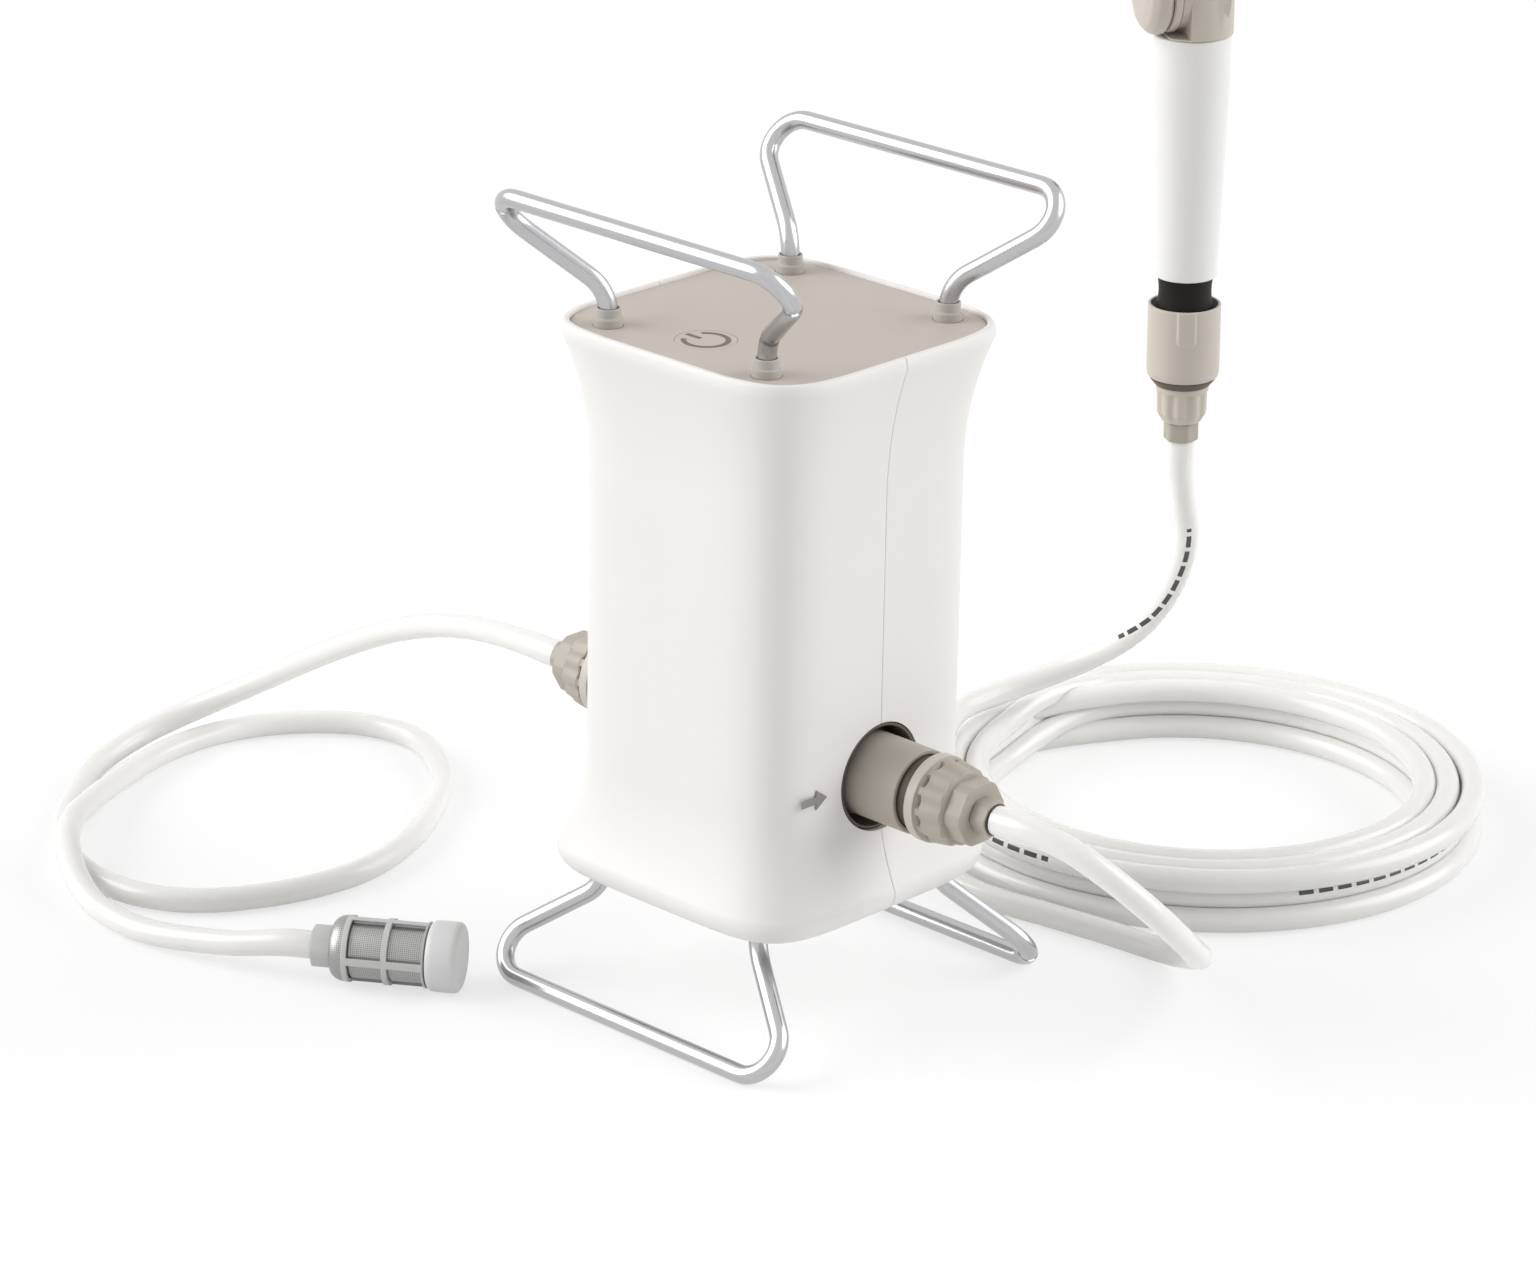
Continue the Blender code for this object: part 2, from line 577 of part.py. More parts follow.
def port(prefix, side):
    """Recessed cup with its spigot, and the push-on connector, of one hose port"""
    face = (side * WAIST_HALF, 0, PORT_Z)
    outward = X_AXIS * side
    cup = [(CUP_RADIUS, CUP_MOUTH), (CUP_RADIUS, -CUP_DEPTH), (SPIGOT_RADIUS, -CUP_DEPTH),
           (SPIGOT_RADIUS, SPIGOT_ROOT), (SPIGOT_BORE, SPIGOT_ROOT), (SPIGOT_BORE, SPIGOT_TIP),
           (SPIGOT_RADIUS, SPIGOT_TIP), (SPIGOT_RADIUS, WALL - CUP_DEPTH),
           (CUP_BORE, WALL - CUP_DEPTH), (CUP_BORE, CUP_MOUTH)]
    turned(prefix + "_port_cup", DARK_LINER, cup, face, outward, LARGE_SIDES)
    turned(prefix + "_sleeve", FITTING_TAN,
           ring(SLEEVE_RADIUS, SLEEVE_BORE, -CUP_DEPTH + 0.0060, SLEEVE_REACH, 0.0005),
           face, outward, LARGE_SIDES)
    turned(prefix + "_seal_ring", RUBBER_BLACK,
           ring(SLEEVE_BORE - GAP, 0.0142, 0.0120, FLANGE_START - GAP), face, outward)
    nut = turned(prefix + "_connector", FITTING_TAN,
                 [(0.0100, 0.0498), (0.0170, 0.0498), (0.0180, 0.0353), (0.0187, 0.0353),
                  (0.0187, FLANGE_START), (0.0138, FLANGE_START), (0.0138, -0.0020),
                  (SPIGOT_RADIUS + 0.0005, -0.0020), (SPIGOT_RADIUS + 0.0005, 0.0225),
                  (0.0045, 0.0225), (0.0045, 0.0480), (0.0100, 0.0480)],
                 face, outward)
    hexagon = cylinder(prefix + "_hexagon", None, 0.0150, 0.0485, 0.0568, face, outward, 6,
                       collection=CUTTERS)
    combine(nut, hexagon, "UNION")
    drill(nut, 0.0045, 0.0300, 0.0700, face, outward)
    turned(prefix + "_tail_nut", FITTING_TAN, ring(0.0072, 0.0040, 0.0571, TAIL_END), face,
           outward, sides=6)


def round_tube(name, points):
    """Hose as a tube through a dense list of points"""
    bevel_curve(name, HOSE_CLEAR, points, HOSE_RADIUS, 2)


def smooth_points(route, spacing):
    """Points at even steps along the smooth curve through a route, with square-cut ends"""
    route = [Vector(point) for point in route]
    extended = [2 * route[0] - route[1]] + route + [2 * route[-1] - route[-2]]
    dense = []
    for index in range(1, len(extended) - 2):
        before, start, end, after = extended[index - 1:index + 3]
        for step in range(12):
            t = step / 12
            dense.append(0.5 * (2 * start + (end - before) * t
                                + (2 * before - 5 * start + 4 * end - after) * t ** 2
                                + (3 * start - before - 3 * end + after) * t ** 3))
    dense.append(route[-1])
    lengths = [0.0]
    for first, second in zip(dense, dense[1:]):
        lengths.append(lengths[-1] + (second - first).length)
    count = max(2, round(lengths[-1] / spacing))
    points = []
    position = 0
    for step in range(count + 1):
        target = lengths[-1] * step / count
        while position < len(dense) - 2 and lengths[position + 1] < target:
            position += 1
        share = (target - lengths[position]) / (lengths[position + 1] - lengths[position])
        points.append(dense[position].lerp(dense[position + 1], min(1.0, share)))
    first_way = (dense[1] - dense[0]).normalized()
    last_way = (dense[-2] - dense[-1]).normalized()
    points.insert(1, points[0] + first_way * HOSE_RADIUS)
    points.insert(-1, points[-1] + last_way * HOSE_RADIUS)
    return points


def hoses():
    """Outlet lead, its coil, the riser to the handset and the suction hose"""
    round_tube("outlet_hose_lead", smooth_points(OUTLET_ROUTE, HOSE_POINT_SPACING))
    coil = [(COIL_OUTER - 0.0055, COIL_TOP), (COIL_OUTER, COIL_TOP - 0.0055),
            (COIL_OUTER, 0.0055), (COIL_OUTER - 0.0055, GAP), (COIL_INNER + 0.0055, GAP),
            (COIL_INNER, 0.0055), (COIL_INNER, COIL_TOP - 0.0055),
            (COIL_INNER + 0.0055, COIL_TOP)]
    turned("outlet_hose_coil", HOSE_CLEAR, coil, (*COIL_CENTRE, 0), sides=28)
    round_tube("outlet_hose_riser", smooth_points(RISER_ROUTE, HOSE_POINT_SPACING * 0.75))
    round_tube("suction_hose", smooth_points(INLET_ROUTE, HOSE_POINT_SPACING))


def strainer():
    """Nut, slotted cage, wire mesh sleeve and end cap of the strainer"""
    start = (*STRAINER_START, STRAINER_Z)
    turned("strainer_nut", STRAINER_LIGHT, ring(0.0095, 0.0056, 0, 0.0090), start,
           STRAINER_DIRECTION, sides=6)
    outline = [(STRAINER_CAGE_RADIUS, STRAINER_CAP_START - GAP),
               (STRAINER_CAGE_RADIUS, 0.0150), (0.0105, 0.0093), (0.0056, 0.0093),
               (0.0056, 0.0125), (STRAINER_CAGE_BORE, 0.0175),
               (STRAINER_CAGE_BORE, STRAINER_CAP_START - GAP)]
    cage = turned("strainer_cage", STRAINER_LIGHT, outline, start, STRAINER_DIRECTION)
    for row_centre in (0.0252, 0.0428):
        for turn in (-1, 1):
            slot = box(f"cage_slot_{turn}", None, (0.0177, 0.0500, 0.0152), (0, 0, 0),
                       collection=CUTTERS)
            slot.rotation_mode = "QUATERNION"
            aim = Z_AXIS.rotation_difference(Vector(STRAINER_DIRECTION))
            along = Vector(STRAINER_DIRECTION)
            level = aim.inverted() @ Z_AXIS
            first = math.atan2(level.y, level.x) + turn * math.pi / 4
            slot.rotation_quaternion = Quaternion(along, first) @ aim
            slot.location = Vector(start) + along * row_centre
            combine(cage, slot, "DIFFERENCE")
    turned("strainer_mesh", STRAINER_MESH,
           ring(STRAINER_CAGE_BORE - GAP, STRAINER_CAGE_BORE - 0.0010, 0.0180,
                STRAINER_CAP_START - GAP), start, STRAINER_DIRECTION)
    cylinder("strainer_cap", STRAINER_LIGHT, STRAINER_CAP_RADIUS, STRAINER_CAP_START,
             STRAINER_LENGTH, start, STRAINER_DIRECTION)


def handset_connector():
    """Tail nut, ribbed nut and sliding sleeve at the handset's foot"""
    foot = (HANDSET_X, HANDSET_Y, 0)
    turned("handset_tail_nut", FITTING_TAN,
           ring(0.0079, 0.0040, HANDSET_FOOT_Z, HANDSET_NUT_Z - GAP), foot, sides=SMALL_SIDES)
    turned("handset_connector", FITTING_TAN,
           [(0.0148, 0.2372), (0.0148, HANDSET_COLLAR_Z), (0.0117, 0.2040),
            (0.0112, 0.1917), (0.0085, HANDSET_NUT_Z), (0.0045, HANDSET_NUT_Z),
            (0.0045, 0.2140), (0.0090, 0.2140), (0.0090, 0.2372)], foot)
    turned("handset_sleeve", FITTING_TAN,
           [(HANDSET_SLEEVE_RADIUS - 0.0006, HANDSET_SLEEVE_TOP_Z),
            (HANDSET_SLEEVE_RADIUS, HANDSET_SLEEVE_TOP_Z - 0.0006),
            (HANDSET_SLEEVE_RADIUS, HANDSET_SLEEVE_Z + 0.0030),
            (HANDSET_SLEEVE_RADIUS - 0.0007, HANDSET_SLEEVE_Z),
            (HANDSET_SLEEVE_BORE, HANDSET_SLEEVE_Z),
            (HANDSET_SLEEVE_BORE, HANDSET_SLEEVE_TOP_Z)], foot, sides=LARGE_SIDES)
    turned("handset_spigot", RUBBER_BLACK,
           [(0.0090, 0.2790), (0.0090, 0.2557), (0.0131, 0.2557), (0.0124, 0.2535),
            (0.0120, 0.2500), (0.0123, 0.2465), (0.0132, 0.2430), (0.0132, 0.2375),
            (0.0087, 0.2375), (0.0087, 0.2160), (0.0055, 0.2160), (0.0055, 0.2790)], foot)


def handset():
    """Grip, pivot block, knob and the tilting spray head"""
    handset_connector()
    foot = (HANDSET_X, HANDSET_Y, 0)
    pivot = Vector((HANDSET_X, HANDSET_Y, PIVOT_Z))
    side = Vector((-math.sin(-HANDSET_YAW), -math.cos(HANDSET_YAW), 0))
    forward = Vector((math.cos(HANDSET_YAW), math.sin(HANDSET_YAW), 0))

    turned("handset_grip", GRIP_WHITE,
           [(GRIP_TOP_RADIUS, GRIP_TOP_Z), (GRIP_FOOT_RADIUS, GRIP_Z),
            (0.0093, GRIP_Z), (0.0093, GRIP_TOP_Z)], foot)

    block = cylinder("pivot_block", FITTING_TAN, 0.0180, GRIP_TOP_Z + GAP, PIVOT_Z, foot,
                     top_radius=0.0184)
    seat_size = (0.0600, 0.0520, 0.0400)
    for name, reach, floor in (("knob_seat", KNOB_SEAT_REACH, KNOB_SEAT_Z),
                               ("knob_relief", KNOB_RELIEF_REACH, GRIP_TOP_Z)):
        centre = (pivot + side * (reach + seat_size[2] / 2)
                  + Z_AXIS * (floor + seat_size[1] / 2 - PIVOT_Z))
        seat = box(name, None, seat_size, centre, side, collection=CUTTERS)
        seat.rotation_quaternion = head_turn(side, forward)
        combine(block, seat, "DIFFERENCE")
    cheeks = cylinder("pivot_cheeks", None, CHEEK_RADIUS, CHEEK_FAR, CHEEK_NEAR, pivot, side,
                      sides=LARGE_SIDES, collection=CUTTERS)
    combine(block, cheeks, "UNION")
    slot = cylinder("pivot_slot", None, TONGUE_RADIUS + 0.0012, -TONGUE_HALF - 0.0005,
                    TONGUE_HALF + 0.0005, pivot, side, LARGE_SIDES,
                    collection=CUTTERS)
    combine(block, slot, "DIFFERENCE")
    mouth = box("pivot_mouth", None, (0.0600, 0.0600, 2 * TONGUE_HALF + 0.0010),
                pivot + Vector((0, 0, 0.0300)), side, collection=CUTTERS)
    mouth.rotation_quaternion = head_turn(side, forward)
    combine(block, mouth, "DIFFERENCE")
    drill(block, PIVOT_PIN_RADIUS + 0.0002, -0.0300, 0.0200, pivot, side, SMALL_SIDES)
    drill(block, 0.0060, -0.0300, -0.0002, (HANDSET_X, HANDSET_Y, GRIP_TOP_Z + 0.0040),
          sides=SMALL_SIDES)

    cylinder("pivot_pin", STEEL, PIVOT_PIN_RADIUS, CHEEK_FAR + 0.0005, 0.0158, pivot, side,
             SMALL_SIDES)
    turned("pivot_washer", FITTING_TAN, ring(0.0186, 0.0043, 0.0104, 0.0140, 0.0008), pivot,
           side)
    turned("tilt_knob", FITTING_TAN,
           [(0.0001, 0.0256), (0.0100, 0.0253), (0.0160, 0.0240), (0.0188, 0.0212),
            (0.0194, 0.0185), (0.0194, 0.0160), (0.0172, 0.0154), (0.0172, 0.0143),
            (0.0043, 0.0143), (0.0043, 0.0163), (0.0001, 0.0163)], pivot, side)
    spray_head(pivot, side, forward)


def lean(parts):
    """Tilt upright parts and their cutters together about the handset's foot"""
    foot = Vector((HANDSET_X, HANDSET_Y, HANDSET_FOOT_Z))
    turn = Z_AXIS.rotation_difference(Vector(HANDSET_AXIS))
    for part in parts:
        part.location = foot + turn @ (part.location - foot)
        part.rotation_mode = "QUATERNION"
        part.rotation_quaternion = turn @ part.rotation_quaternion


def head_turn(side, forward):
    """Rotation that lays local Z on the pivot axis and local X forward"""
    up = side.cross(forward)
    return Matrix((forward, up, side)).transposed().to_quaternion()


def spray_head(pivot, side, forward):
    """Tongue, neck, round shell and the nozzle plate in front of it"""
    spray = forward * math.cos(HEAD_DROP) - Z_AXIS * math.sin(HEAD_DROP)
    centre = pivot + forward * HEAD_FORWARD + Z_AXIS * HEAD_RISE
    back = centre - spray * HEAD_DEPTH / 2
    head = turned("spray_head", FITTING_TAN,
                  [(0.0001, -0.0110), (0.0001, -0.0135), (0.0130, -0.0130), (0.0300, -0.0085),
                   (0.0375, -0.0020), (HEAD_RADIUS, 0.0060), (HEAD_RADIUS - 0.0005, 0.0110),
                   (HEAD_RADIUS - 0.0030, 0.0110), (HEAD_RADIUS - 0.0030, -0.0010),
                   (0.0280, -0.0060), (0.0130, -0.0105)][::-1],
                  centre, spray, sides=LARGE_SIDES)
    tongue = cylinder("head_tongue", None, TONGUE_RADIUS, -TONGUE_HALF, TONGUE_HALF, pivot,
                      side, collection=CUTTERS)
    combine(head, tongue, "UNION")
    reach = back - pivot
    stem = cylinder("head_stem", None, NECK_RADIUS, 0.0080, 0.0260, pivot, reach,
                    SMALL_SIDES, collection=CUTTERS)
    combine(head, stem, "UNION")
    neck = cylinder("head_neck", None, NECK_RADIUS, 0.0225, reach.length + 0.0030, pivot,
                    reach, SMALL_SIDES, top_radius=0.0120, collection=CUTTERS)
    combine(head, neck, "UNION")
    drill(head, PIVOT_PIN_RADIUS + 0.0002, -0.0100, 0.0100, pivot, side, SMALL_SIDES)
    cylinder("spray_plate", STRAINER_LIGHT, HEAD_RADIUS - 0.0036, 0.0040, 0.0104, centre,
             spray, sides=LARGE_SIDES)


def drive():
    """Centrifugal pump with its motor, pipes and the bulkhead above it"""
    high = PUMP_Z + PUMP_HEIGHT
    pedestal_z = BASE_PLATE_Z + PLATE_THICK + GAP
    housing = turned("pump_housing", MECHANISM_GREY,
                     [(PUMP_RADIUS, high), (PUMP_RADIUS, PUMP_Z), (PEDESTAL_RADIUS, PUMP_Z),
                      (PEDESTAL_RADIUS, pedestal_z), (PEDESTAL_RADIUS - WALL, pedestal_z),
                      (PEDESTAL_RADIUS - WALL, PUMP_Z), (0.0060, PUMP_Z),
                      (0.0060, PUMP_Z + WALL), (PUMP_RADIUS - WALL, PUMP_Z + WALL),
                      (PUMP_RADIUS - WALL, high)])
    drill(housing, 0.0050, -0.0400, 0.0400, (0, 0, PORT_Z), X_AXIS, sides=SMALL_SIDES)
    turned("pump_cover", MECHANISM_GREY, ring(PUMP_RADIUS, 0.0026, high + GAP, high + 0.0030))
    impeller = turned("impeller", MECHANISM_GREY,
                      ring(0.0070, SHAFT_RADIUS + GAP, PUMP_Z + 0.0060, high - 0.0010),
                      sides=SMALL_SIDES)
    for number in range(3):
        blade = box(f"impeller_blade_{number}", None, (0.0400, 0.0016, 0.0120),
                    (0, 0, PUMP_Z + 0.0130), collection=CUTTERS)
        blade.rotation_euler = (0, 0, math.pi * number / 3 + 0.1)
        combine(impeller, blade, "UNION")
    drill(impeller, SHAFT_RADIUS + GAP, -0.0500, 0.0500, (0, 0, high), sides=SMALL_SIDES)
    cylinder("motor_shaft", STEEL, SHAFT_RADIUS, PUMP_Z + 0.0050, MOTOR_Z + 0.0300, sides=SMALL_SIDES)
    turned("motor_can", MECHANISM_GREY,
           [(MOTOR_RADIUS, MOTOR_Z + MOTOR_HEIGHT), (MOTOR_RADIUS, MOTOR_Z),
            (0.0022, MOTOR_Z), (0.0022, MOTOR_Z + 0.0310), (0.0001, MOTOR_Z + 0.0310),
            (0.0001, MOTOR_Z + MOTOR_HEIGHT)])
    for prefix, sign in (("outlet", 1), ("inlet", -1)):
        turned(prefix + "_pipe", RUBBER_BLACK,
               ring(0.0070, 0.0050, PUMP_RADIUS + GAP, WAIST_HALF - CUP_DEPTH - 0.0093),
               (0, 0, PORT_Z), X_AXIS * sign, sides=SMALL_SIDES)
    bulkhead = square_plate("bulkhead", MECHANISM_GREY, BULKHEAD_HALF, SECTION_POWER,
                            BULKHEAD_Z, BULKHEAD_Z + PLATE_THICK)
    ties = grouped_cylinders("bulkhead_tie_bores", TIE_RADIUS + GAP, BULKHEAD_Z - 0.0100,
                             BULKHEAD_Z + 0.0100, tie_places())
    combine(bulkhead, ties, "DIFFERENCE")
    for number, (x, y) in enumerate(tie_places(), start=1):
        turned(f"tie_screw_{number}", STEEL,
               [(0.0001, TOP_PLATE_Z - 0.0020), (TIE_RADIUS, TOP_PLATE_Z - 0.0020),
                (TIE_RADIUS, BASE_PLATE_Z - GAP), (0.0035, BASE_PLATE_Z - GAP),
                (0.0035, BASE_PLATE_Z - 0.0025), (0.0001, BASE_PLATE_Z - 0.0025)],
               (x, y, 0), sides=SMALL_SIDES)


def power():
    """Battery cells in their tray, control board, button and charging socket"""
    tray_z = BULKHEAD_Z + PLATE_THICK + GAP
    cell_z = tray_z + 0.0023
    cells = [((index - (CELL_COUNT - 1) / 2) * CELL_PITCH, 0) for index in range(CELL_COUNT)]
    width = CELL_COUNT * CELL_PITCH + 0.0040
    tray = box("battery_tray", MECHANISM_GREY, (width, 0.0240, TRAY_HEIGHT),
               (0, 0, tray_z + TRAY_HEIGHT / 2))
    bores = grouped_cylinders("tray_bores", CELL_RADIUS + GAP, cell_z - GAP, tray_z + 0.0200,
                              cells, ROUND_SIDES)
    combine(tray, bores, "DIFFERENCE")
    for number, (x, y) in enumerate(cells, start=1):
        cylinder(f"battery_cell_{number}", CELL_WRAP, CELL_RADIUS, 0, CELL_HEIGHT,
                 (x, y, cell_z), sides=SMALL_SIDES)

    board_z = 0.2640
    switch_place = (BUTTON_X, BUTTON_Y + 0.0040, 0)
    board = box("control_board", COPPER_BOARD, (0.0480, 0.0740, 0.0016),
                (0, -0.0040, board_z))
    switch = cylinder("button_switch", None, 0.0035, board_z, SWITCH_TOP_Z, switch_place,
                      sides=12, collection=CUTTERS)
    combine(board, switch, "UNION")
    high = TOP_PLATE_Z + PLATE_THICK
    cylinder("power_button", PLATE_TAUPE, BUTTON_RADIUS, high - 0.0080, high,
             (BUTTON_X, BUTTON_Y, 0), sides=LARGE_SIDES)
    outer = WAIST_HALF
    box("charge_socket", STEEL, (0.0092, 0.0080, 0.0034), (0, outer - 0.0062, CHARGE_Z))
    box("charge_flap", RUBBER_BLACK, (FLAP_WIDTH, FLAP_THICK, FLAP_HEIGHT),
        (0, outer - FLAP_THICK / 2, CHARGE_Z))


body()
wires()
port("outlet", 1)
port("inlet", -1)
hoses()
strainer()
earlier = set(bpy.data.objects)
handset()
lean(set(bpy.data.objects) - earlier)
drive()
power()
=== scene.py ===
# %% [markdown]
# # A camping shower, built as a lesson
# The object is a small rechargeable shower. A square, waisted body with a pump stands on bent
# wires, a suction hose with a strainer lies beside it, and a coiled hose leads to a handset.
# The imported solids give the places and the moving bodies. The cells below give them their
# fine shapes and finishes.

# %% Load the frame
import math

import bmesh
import bpy
import numpy as np
from mathutils import Matrix


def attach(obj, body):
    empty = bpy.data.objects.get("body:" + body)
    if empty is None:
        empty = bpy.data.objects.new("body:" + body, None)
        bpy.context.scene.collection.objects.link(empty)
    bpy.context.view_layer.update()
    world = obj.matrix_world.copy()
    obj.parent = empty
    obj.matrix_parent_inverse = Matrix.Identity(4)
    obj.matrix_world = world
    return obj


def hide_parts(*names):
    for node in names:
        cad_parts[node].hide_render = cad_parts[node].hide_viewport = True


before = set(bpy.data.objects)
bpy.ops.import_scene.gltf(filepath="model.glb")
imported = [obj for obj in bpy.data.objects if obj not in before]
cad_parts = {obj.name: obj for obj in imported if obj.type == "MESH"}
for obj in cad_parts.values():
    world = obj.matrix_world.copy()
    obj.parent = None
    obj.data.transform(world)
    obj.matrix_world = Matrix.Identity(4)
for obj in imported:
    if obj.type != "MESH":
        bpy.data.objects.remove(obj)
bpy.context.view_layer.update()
BODY_Y = -0.0993

# %% [markdown]
# ## The camera
# The photograph was taken from the front right, about 20 degrees above the horizon, with a
# long lens that keeps upright edges nearly parallel. The camera is turned about its own axis
# by one degree, and a small shift puts the shower a little above the middle of the picture.

# %% Camera
IMAGE_WIDTH = 1536
FOCAL_PIXELS = 5551.24
VIEW_AZIMUTH, VIEW_ELEVATION, VIEW_ROLL = np.radians((43.53, 20.65, 1.0))
VIEW_DISTANCE = 2.3316
SHIFT_LEFT_PIXELS, SHIFT_UP_PIXELS = 6.02, 53.2
AIM = np.array((0.0, BODY_Y, 0.177))

sine, cosine = np.sin(VIEW_AZIMUTH), np.cos(VIEW_AZIMUTH)
backward = np.array((sine * np.cos(VIEW_ELEVATION), -cosine * np.cos(VIEW_ELEVATION),
                     np.sin(VIEW_ELEVATION)))
level = np.array((cosine, sine, 0.0))
upward = np.cross(backward, level)
camera_right = level * np.cos(VIEW_ROLL) + upward * np.sin(VIEW_ROLL)
camera_up = upward * np.cos(VIEW_ROLL) - level * np.sin(VIEW_ROLL)
place = AIM + backward * VIEW_DISTANCE

camera_data = bpy.data.cameras.new("camera")
camera_data.sensor_width = 36.0
camera_data.lens = FOCAL_PIXELS * camera_data.sensor_width / IMAGE_WIDTH
camera_data.shift_x = -SHIFT_LEFT_PIXELS / IMAGE_WIDTH
camera_data.shift_y = -SHIFT_UP_PIXELS / IMAGE_WIDTH
camera = bpy.data.objects.new("camera", camera_data)
turn = np.eye(4)
turn[:3, 0], turn[:3, 1], turn[:3, 2], turn[:3, 3] = camera_right, camera_up, backward, place
camera.matrix_world = Matrix(turn.tolist())
bpy.context.scene.collection.objects.link(camera)
bpy.context.scene.camera = camera
print("camera at", np.round(place, 3), "lens", round(camera_data.lens, 1), "mm")

# %% [markdown]
# ## Grids of points
# Almost every piece here is a grid of points: rows run along the piece and columns run round
# it. Numpy works out the whole grid at once, and four neighbours make one face. Rows or
# columns that don't join up are closed with a flat end, so that every piece is a solid.

# %% Grid to mesh
SHARP_DEGREES = 38


def piece_from_grid(name, grid, finish, rows_join=False, columns_join=True, uv=None,
                    angle=SHARP_DEGREES):
    """A closed mesh from a grid of points: corner (i, j) is row i and column j."""
    rows, columns = grid.shape[:2]
    row = np.arange(rows + rows_join)
    column = np.arange(columns + columns_join)
    vertex = (row % rows)[:, None] * columns + (column % columns)[None, :]

    def corners(table):
        return np.stack((table[:-1, :-1], table[:-1, 1:], table[1:, 1:], table[1:, :-1]),
                        axis=2).reshape((-1, 4) + table.shape[2:])

    faces = corners(vertex).tolist()
    quads = len(faces)
    if not rows_join:
        faces += [vertex[0, :columns][::-1].tolist(), vertex[-1, :columns].tolist()]
    if not columns_join:
        faces += [vertex[:rows, 0].tolist(), vertex[:rows, -1][::-1].tolist()]
    mesh = bpy.data.meshes.new(name)
    mesh.from_pydata(grid.reshape(-1, 3).tolist(), [], faces)
    if uv is not None:
        layer = mesh.uv_layers.new(name="surface")
        table = np.zeros((len(mesh.loops), 2), np.float32)
        table[:quads * 4] = corners(uv).reshape(-1, 2)
        layer.data.foreach_set("uv", table.ravel())
    return finished_piece(name, mesh, finish, angle)


def finished_piece(name, mesh, finish, angle=SHARP_DEGREES):
    """Turn faces outwards, smooth round surfaces, and link the piece to the scene."""
    shape = bmesh.new()
    shape.from_mesh(mesh)
    if shape.calc_volume(signed=True) < 0:
        bmesh.ops.reverse_faces(shape, faces=shape.faces)
    shape.to_mesh(mesh)
    shape.free()
    mesh.shade_smooth()
    mesh.set_sharp_from_angle(angle=math.radians(angle))
    mesh.materials.append(finish)
    piece = bpy.data.objects.new(name, mesh)
    bpy.context.scene.collection.objects.link(piece)
    return piece


def dress(piece, body, slot, *nodes):
    """Let a piece ride on a body and let it stand for solids. The slot is not used."""
    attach(piece, body)
    if nodes:
        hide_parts(*nodes)
    return piece


# %% [markdown]
# ## Shared effects for the finishes
# Moulded plastic is never one flat colour: it has a fine grain, broad soft changes of tone
# and a little rubbing. Three small node groups give these effects, and each material places
# them with its own values. They put out only colours, masks and heights.

# %% Node group tools
def effect_group(name, inputs, outputs):
    """An empty node group with named value or colour sockets."""
    group = bpy.data.node_groups.new(name, "ShaderNodeTree")
    kinds = {"value": "NodeSocketFloat", "colour": "NodeSocketColor",
             "vector": "NodeSocketVector"}
    for label, kind, start in inputs:
        socket = group.interface.new_socket(label, in_out="INPUT", socket_type=kinds[kind])
        if start is not None:
            socket.default_value = start
    for label, kind in outputs:
        group.interface.new_socket(label, in_out="OUTPUT", socket_type=kinds[kind])
    return group, group.nodes.new("NodeGroupInput"), group.nodes.new("NodeGroupOutput")


def feed(tree, target, sources):
    """Link or set a node's inputs, given as {input: socket or plain value}."""
    for label, source in sources.items():
        if hasattr(source, "is_output"):
            tree.links.new(source, target.inputs[label])
        else:
            target.inputs[label].default_value = source


def node(tree, kind, sources=(), **settings):
    """Add a node, make its plain settings, and feed its inputs."""
    made = tree.nodes.new("ShaderNode" + kind)
    for key, value in settings.items():
        setattr(made, key, value)
    feed(tree, made, dict(sources))
    return made


def math_value(tree, operation, *values):
    """The result of one sum on sockets or plain numbers."""
    made = node(tree, "Math", dict(enumerate(values)), operation=operation)
    return made.outputs["Value"]


def mixed_colour(tree, factor, first, second):
    """A colour between two others, each an output socket or (red, green, blue, 1)."""
    made = node(tree, "Mix", {"Factor": factor, 6: first, 7: second}, data_type="RGBA")
    return made.outputs[2]


# %% Grain, tone and streak groups
grain, inward, outward = effect_group(
    "moulded_grain", [("Place", "vector", None), ("Size", "value", 900.0)],
    [("Height", "value")])
fine = node(grain, "TexNoise", {"Vector": inward.outputs["Place"], "Detail": 3.0,
                                "Scale": inward.outputs["Size"]})
grain.links.new(fine.outputs["Fac"], outward.inputs["Height"])

tone, inward, outward = effect_group(
    "soft_tone", [("Place", "vector", None), ("Size", "value", 9.0),
                  ("Colour", "colour", (1, 1, 1, 1)), ("Shade", "colour", (1, 1, 1, 1)),
                  ("Amount", "value", 0.5)],
    [("Colour", "colour"), ("Mask", "value")])
broad = node(tone, "TexNoise", {"Vector": inward.outputs["Place"], "Detail": 4.0,
                                "Scale": inward.outputs["Size"], "Roughness": 0.6})
mask = node(tone, "MapRange", {"Value": broad.outputs["Fac"], "From Min": 0.35,
                               "From Max": 0.68})
amount = math_value(tone, "MULTIPLY", mask.outputs["Result"], inward.outputs["Amount"])
mixed = mixed_colour(tone, amount, inward.outputs["Colour"], inward.outputs["Shade"])
feed(tone, outward, {"Colour": mixed, "Mask": mask.outputs["Result"]})

